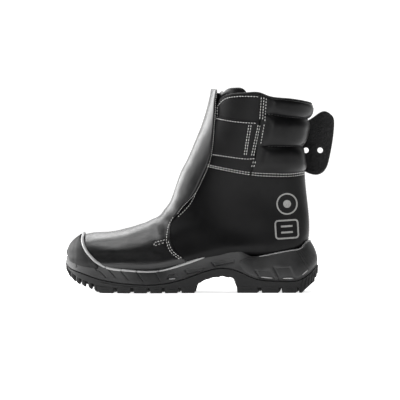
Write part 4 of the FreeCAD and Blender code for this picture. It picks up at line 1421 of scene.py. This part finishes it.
LUG_MARK_HEIGHT, LUG_MARK_RADIUS = 4.4, 0.6
LUG_SPANS = [(-148, -126), (-122.5, -102.5), (-98.3, -82.4), (-78.7, -63.1), (-59.3, -45.1), (-42, -26.9),
             (-22.4, -6.5), (43.5, 68.2), (72.7, 93.1), (96.7, 114.1), (117.1, 136.5)]


def lugs():
    """Rows of outer, middle and inner tread blocks, split by cross channels."""
    points, faces = [], []

    def top(x):
        return np.minimum(ground_height(x) + TREAD_DEPTH + 0.6, tread_height(x) - 1.0)

    for number, (first_x, last_x) in enumerate(LUG_SPANS):
        toe, heel = last_x < -120, first_x > 0
        shift = 5.0 if heel else 6.5
        clear = TOE_LUG_CLEAR if toe else 0.0
        for side in SIDES:
            start, end = (first_x, last_x) if side == LATERAL else (first_x + shift, last_x + shift)
            end = min(end, 137.0 if heel else -5.5)
            if not toe:
                xs = np.linspace(start + 3, end - 3, 7)
                ys, zs = side_reach(xs, side) - side * 0.2, ground_height(xs) + LUG_MARK_HEIGHT
                tube(points, faces, np.column_stack([xs, ys, zs]), LUG_MARK_RADIUS)
            deep = TOOTH_DEEP if toe else 0.25
            rim = [(x, side_reach(x, side) - side * deep) for x in np.linspace(start, end, 7)]
            lean = 3.0 if number % 2 else -3.0
            inner = side * (8.0 if abs(side_reach((start + end) / 2, side)) < 24 else 17.0)
            rim += [(end + lean * 0.3, inner + 2 * side), (start - lean * 0.3 + 2, inner)]
            lug(points, faces, rim, top, clear=clear)
        start, end = first_x + shift / 2, min(last_x + shift / 2, 136.0)
        mid = (start + end) / 2
        width = min(12.5, abs(side_reach(mid, LATERAL)) - 16)
        if width > 4:
            block = [(start, -width), (mid, -width - 1.5), (end, -width), (end - 3, 0), (end, width),
                     (mid, width + 1.5), (start, width), (start - 2, 0)]
            lug(points, faces, block, top, clear=clear)
    finish_piece(make("tread_lugs", points, faces, TREAD_RUBBER, 30))


TOOTH_PLACES = [-161, -154.5, -147.5, -140, -132, -124.5]
TOOTH_LONG, TOOTH_DEEP, TOE_LUG_CLEAR = 2.6, 7.0, 3.4


def toe_teeth():
    """The rounded teeth up the front of the outsole, level with each other on both sides."""
    points, faces = [], []
    for x in TOOTH_PLACES:
        for side in SIDES:
            spot, n, along = on_outline(x, 5.0 + side * 5.5 if x < -160 else side_reach(x, side))
            centre = spot - n * (TOOTH_DEEP / 2 + 0.2)
            loop = [tuple(centre + along * TOOTH_LONG * math.cos(t) + n * TOOTH_DEEP / 2 * math.sin(t))
                    for t in np.linspace(0, 2 * math.pi, 13)[:-1]]
            lug(points, faces, loop, lambda v: tread_height(v) - 0.5, 1.4)
    finish_piece(make("toe_teeth", points, faces, TREAD_RUBBER, 40))


RIBS_START, RIB_PITCH, RIB_SLANT = 119, 6.2, 3.0
RIB_SECTION = ((-1, -2.5), (-0.6, 0.7), (0.6, 0.7), (1, -2.5))


def heel_ribs():
    """Slanted ribs up the back corner of the heel."""
    points, faces = [], []
    for x, y in resample(np.vstack([OUTLINE[0], OUTLINE[0][:1]]), RIB_PITCH):
        if x > RIBS_START:
            _, n, along = on_outline(x, y)
            low, high = float(ground_height(x)) + 0.4, float(tread_height(x)) - 0.8
            join_rings(faces, len(points), 7, len(RIB_SECTION))
            for t in np.linspace(0, 1, 7):
                girth = 0.75 + 0.9 * math.sin(math.pi * t) ** 0.5
                middle = np.array([x, y]) + along * (t - 0.5) * RIB_SLANT * (1 if y < 0 else -1)
                for u, out in RIB_SECTION:
                    points.append((*(middle + along * u * girth + n * out), low + (high - low) * t))
    finish_piece(make("heel_ribs", points, faces, TREAD_RUBBER, 40))


GUARD_GROOVES = [[(-147, 62), (-147.6, 54), (-148, 34)], [(-137.6, 52), (-132, 38), (-123, 26)]]


def bumper():
    """The rubber toe guard that rises from the midsole over the toe."""
    half = guard_edge()
    nose = -NOSE * 0.9995
    tip = resample([(-half[0, 0], half[0, 1]), (-half[0, 0], nose), (half[0, 0], nose), half[0]], 1.6)
    outline = np.vstack([half, mirror(half)[1:], tip[1:-1]])
    rows = edges(GUARD_GROOVES, LATERAL) + edges(GUARD_GROOVES, MEDIAL)

    def top(a, b, away):
        away = np.where(b < STATION_B[1], 9.0, away)
        h = 2.9 - 0.9 * (1 - step_up(b, nose, STATION_B[1])) - rounded(away, 1.6)
        h = h + 0.45 * hill(away, 1.6, 1.3)
        points = np.column_stack([a, b])
        for row in rows:
            h = h - 0.55 * np.clip(1 - distance_to(points, row) / 1.3, 0, 1)
        return h

    piece = panel("toe_guard", outline, top, even(-0.4), BUMPER_RUBBER, 1.9)
    finish_piece(piece, replaces=("toe_bumper",))


# ---------------------------------------------------------------- footbed
# Each place: x, the lateral edge's y, the medial edge's y, the height of the edge.
BED_PLACES = [(-151.6, 5.5, 7.0, 47.4), (-151, -2, 14.5, 47.1), (-149, -11, 20.8, 45.9),
              (-145, -19.2, 26.8, 44.1), (-138, -26.5, 32.2, 42), (-128, -32.2, 36.5, 39.8),
              (-115, -36.2, 39.2, 37.5), (-95, -38.8, 39.2, 34.9), (-70, -37.8, 35.8, 33.8),
              (-45, -34.5, 31.5, 35.5), (-20, -30.5, 27.5, 40.1), (5, -28.2, 25.2, 45.5), (30, -26.8, 24.8, 50),
              (55, -25.8, 24.5, 51.8), (80, -23.5, 23, 51.7), (100, -20.5, 20.2, 52.6), (112, -16.5, 16.5, 54.8),
              (120, -10.5, 10.5, 57.8), (123, -4.8, 4.8, 59.5), (123.7, -1, 1, 59.8)]
BED_THICK, BED_EDGE, BED_CROWN = 4.6, 1.2, 1.2
BED_ACROSS, BED_ALONG = 28, 90             # how many strips the footbed's net has


def footbed():
    """The removable footbed: a soft crowned cushion with a cupped heel and a pressed line inside its edge."""
    lateral, medial, level = [height_of([(place[0], place[k]) for place in BED_PLACES]) for k in (1, 2, 3)]
    first_x, last_x = BED_PLACES[0][0], BED_PLACES[-1][0]
    share = np.sin(np.linspace(-math.pi / 2, math.pi / 2, BED_ACROSS + 1))
    points, faces = [], []
    for x in (first_x + last_x - (last_x - first_x) * np.cos(np.linspace(0, math.pi, BED_ALONG))) / 2:
        half = (medial(x) - lateral(x)) / 2 - 0.2
        y = (medial(x) + lateral(x)) / 2 + half * share
        end = min(x - first_x, last_x - x)
        away = np.minimum(half * (1 - np.abs(share)), end)
        top = level(x) - BED_EDGE * np.clip(1 - away / 1.6, 0, 1) ** 2 + BED_CROWN * step_up(away, 0, 9)
        top = top - 0.7 * hill(away, 3.4, 0.7)
        top = top + hill(x, 92, 26) * (1.6 * share ** 2 - 1.0) * step_up(away, 0, 6)
        top = top + hill(x, 18, 30) * 1.5 * step_up(share, 0.1, 1)
        thick = BED_EDGE + (BED_THICK - BED_EDGE) * np.sqrt(1 - share ** 2) * step_up(end, -3, 12)
        under = level(x) - thick
        points += [(x, *spot) for spot in zip(y, top)] + [(x, *spot) for spot in zip(y[-2:0:-1], under[-2:0:-1])]
    join_rings(faces, 0, BED_ALONG, 2 * BED_ACROSS)
    piece = make("footbed_cushion", points, faces, BED_CLOTH, 60)
    finish_piece(piece, replaces=("footbed",))


# ---------------------------------------------------------------- carried-over CAD nodes
def dress_cad():
    """Gives the inner parts that stay as CAD their real materials."""
    loops, hooks = hooked("loop_tape", (0.012, 0.012, 0.012)), hooked("hook_tape", (0.018, 0.018, 0.018))
    looks = [(brushed("shank_steel", (0.42, 0.42, 0.43), 0.32), ["shank"]),
             (brushed("cap_steel", (0.30, 0.30, 0.31), 0.4), ["toe_cap"]),
             (moulded("board_fibre", (0.36, 0.27, 0.17), 0.8, 0.8, 0.15), ["insole_board"]),
             (woven("insert_textile", (0.75, 0.72, 0.6), 0.85, 0.9, 0.2), ["penetration_insert"]),
             (moulded("counter_board", (0.10, 0.09, 0.08), 0.75, 0.8, 0.12), ["heel_counter"]),
             (LINING, ["interlining", "shaft_lining", "vamp_lining"]),
             (loops, ["shield_loop_tape_lateral", "shield_loop_tape_medial", "strap_loop_tape"]),
             (hooks, ["shield_hook_tape_lateral", "shield_hook_tape_medial", "strap_hook_tape"])]
    for look, names in looks:
        for name in names:
            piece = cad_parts[name]
            if not piece.material_slots:
                piece.data.materials.append(look)
            for spot in piece.material_slots:
                spot.material = look


# ---------------------------------------------------------------- floor, light and camera
def aimed(name, data, place, aim):
    """Puts a lamp or a camera at a place, turned towards another."""
    made = bpy.data.objects.new(name, data)
    made.location = place
    made.rotation_mode = "QUATERNION"
    made.rotation_quaternion = (Vector(aim) - Vector(place)).to_track_quat("-Z", "Y")
    bpy.context.scene.collection.objects.link(made)
    return made


def area_light(name, place, aim, size, power):
    lamp = bpy.data.lights.new(name, "AREA")
    lamp.shape = "RECTANGLE"
    lamp.size, lamp.size_y = size
    lamp.energy = power
    aimed(name, lamp, place, aim)


def studio():
    """A plain pale floor, soft lamps and the studio round them."""
    reach = 12.0
    floor_mesh = bpy.data.meshes.new("floor")
    corners = [(-reach, -reach, 0), (reach, -reach, 0), (reach, reach, 0), (-reach, reach, 0)]
    floor_mesh.from_pydata(corners, [], [(0, 1, 2, 3)])
    floor = bpy.data.objects.new("floor", floor_mesh)
    bpy.context.scene.collection.objects.link(floor)
    pale, principled, where = shader("floor_pale", (0.93, 0.93, 0.93), 0.9, specular=0.1)
    principled.inputs["Emission Color"].default_value = (1, 1, 1, 1)
    principled.inputs["Emission Strength"].default_value = 0.75
    cloudy = texture(pale, where, "Noise", 600, 2)
    tint(pale, principled, cloudy.outputs["Fac"], (0.92, 0.92, 0.92), (0.95, 0.95, 0.95))
    floor_mesh.materials.append(pale)
    bpy.context.scene.view_settings.view_transform = "Standard"
    bpy.context.scene.world = surroundings()
    area_light("top", (-0.35, -0.25, 2.3), (0, 0, 0), (2.0, 0.5), 16)
    area_light("back", (-0.3, 1.9, 1.9), (0, 0, 0.1), (2.4, 1.0), 34)
    area_light("key", (-0.36, -1.3, 0.36), (0, 0, 0.06), (0.45, 0.3), 2.0)
    area_light("front_rim", (-1.6, 1.0, 0.7), (-0.03, 0, 0.14), (1.3, 1.3), 35)
    area_light("front_fill", (-1.7, -0.25, 0.75), (-0.03, 0, 0.14), (0.5, 1.0), 5)


def surroundings():
    """A studio that looks plain white, and lights the boot mostly from behind and above."""
    world = bpy.data.worlds.new("studio")
    world.use_nodes = True
    backdrop = world.node_tree.nodes["Background"]
    backdrop.inputs["Color"].default_value = (1, 1, 1, 1)
    backdrop.inputs["Strength"].default_value = 1.15
    where = node(world, "TexCoord").outputs["Generated"]
    facing = node(world, "VectorMath", {0: where, 1: (-0.40, 0.90, 0.17)}, operation="DOT_PRODUCT")
    spread = node(world, "MapRange", {"Value": facing.outputs["Value"], "From Min": -1.0})
    glow = node(world, "Background", {"Color": shades(world, spread.outputs["Result"], [
        (0.45, (0.02, 0.02, 0.02)), (0.85, (0.95, 0.95, 0.95))])})
    mix = node(world, "MixShader", {0: node(world, "LightPath").outputs["Is Camera Ray"],
                                    1: glow.outputs["Background"], 2: backdrop.outputs["Background"]})
    connect(world, world.node_tree.nodes["World Output"], "Surface", mix.outputs["Shader"])
    return world


def camera():
    """A long lens at the photograph's viewing angle."""
    lens = bpy.data.cameras.new("camera")
    lens.lens, lens.sensor_width = 240.0, 36.0
    bpy.context.scene.camera = aimed("camera", lens, (-0.0005, -3.20, 0.125), (-0.0005, 0, 0.110))


camera()
studio()
front_leather()
for suffix, which in (("lateral", LATERAL), ("medial", MEDIAL)):
    quarter("quarter_" + suffix, which)
    upper_panel("upper_panel_" + suffix, which)
prints()
strap_band()
collar()
binding()
tongue()
tongue_padding()
closure_strap()
pull_ear()
midsole()
heel_cup()
rim_bead()
tread_base()
lugs()
toe_teeth()
heel_ribs()
bumper()
footbed()
dress_cad()
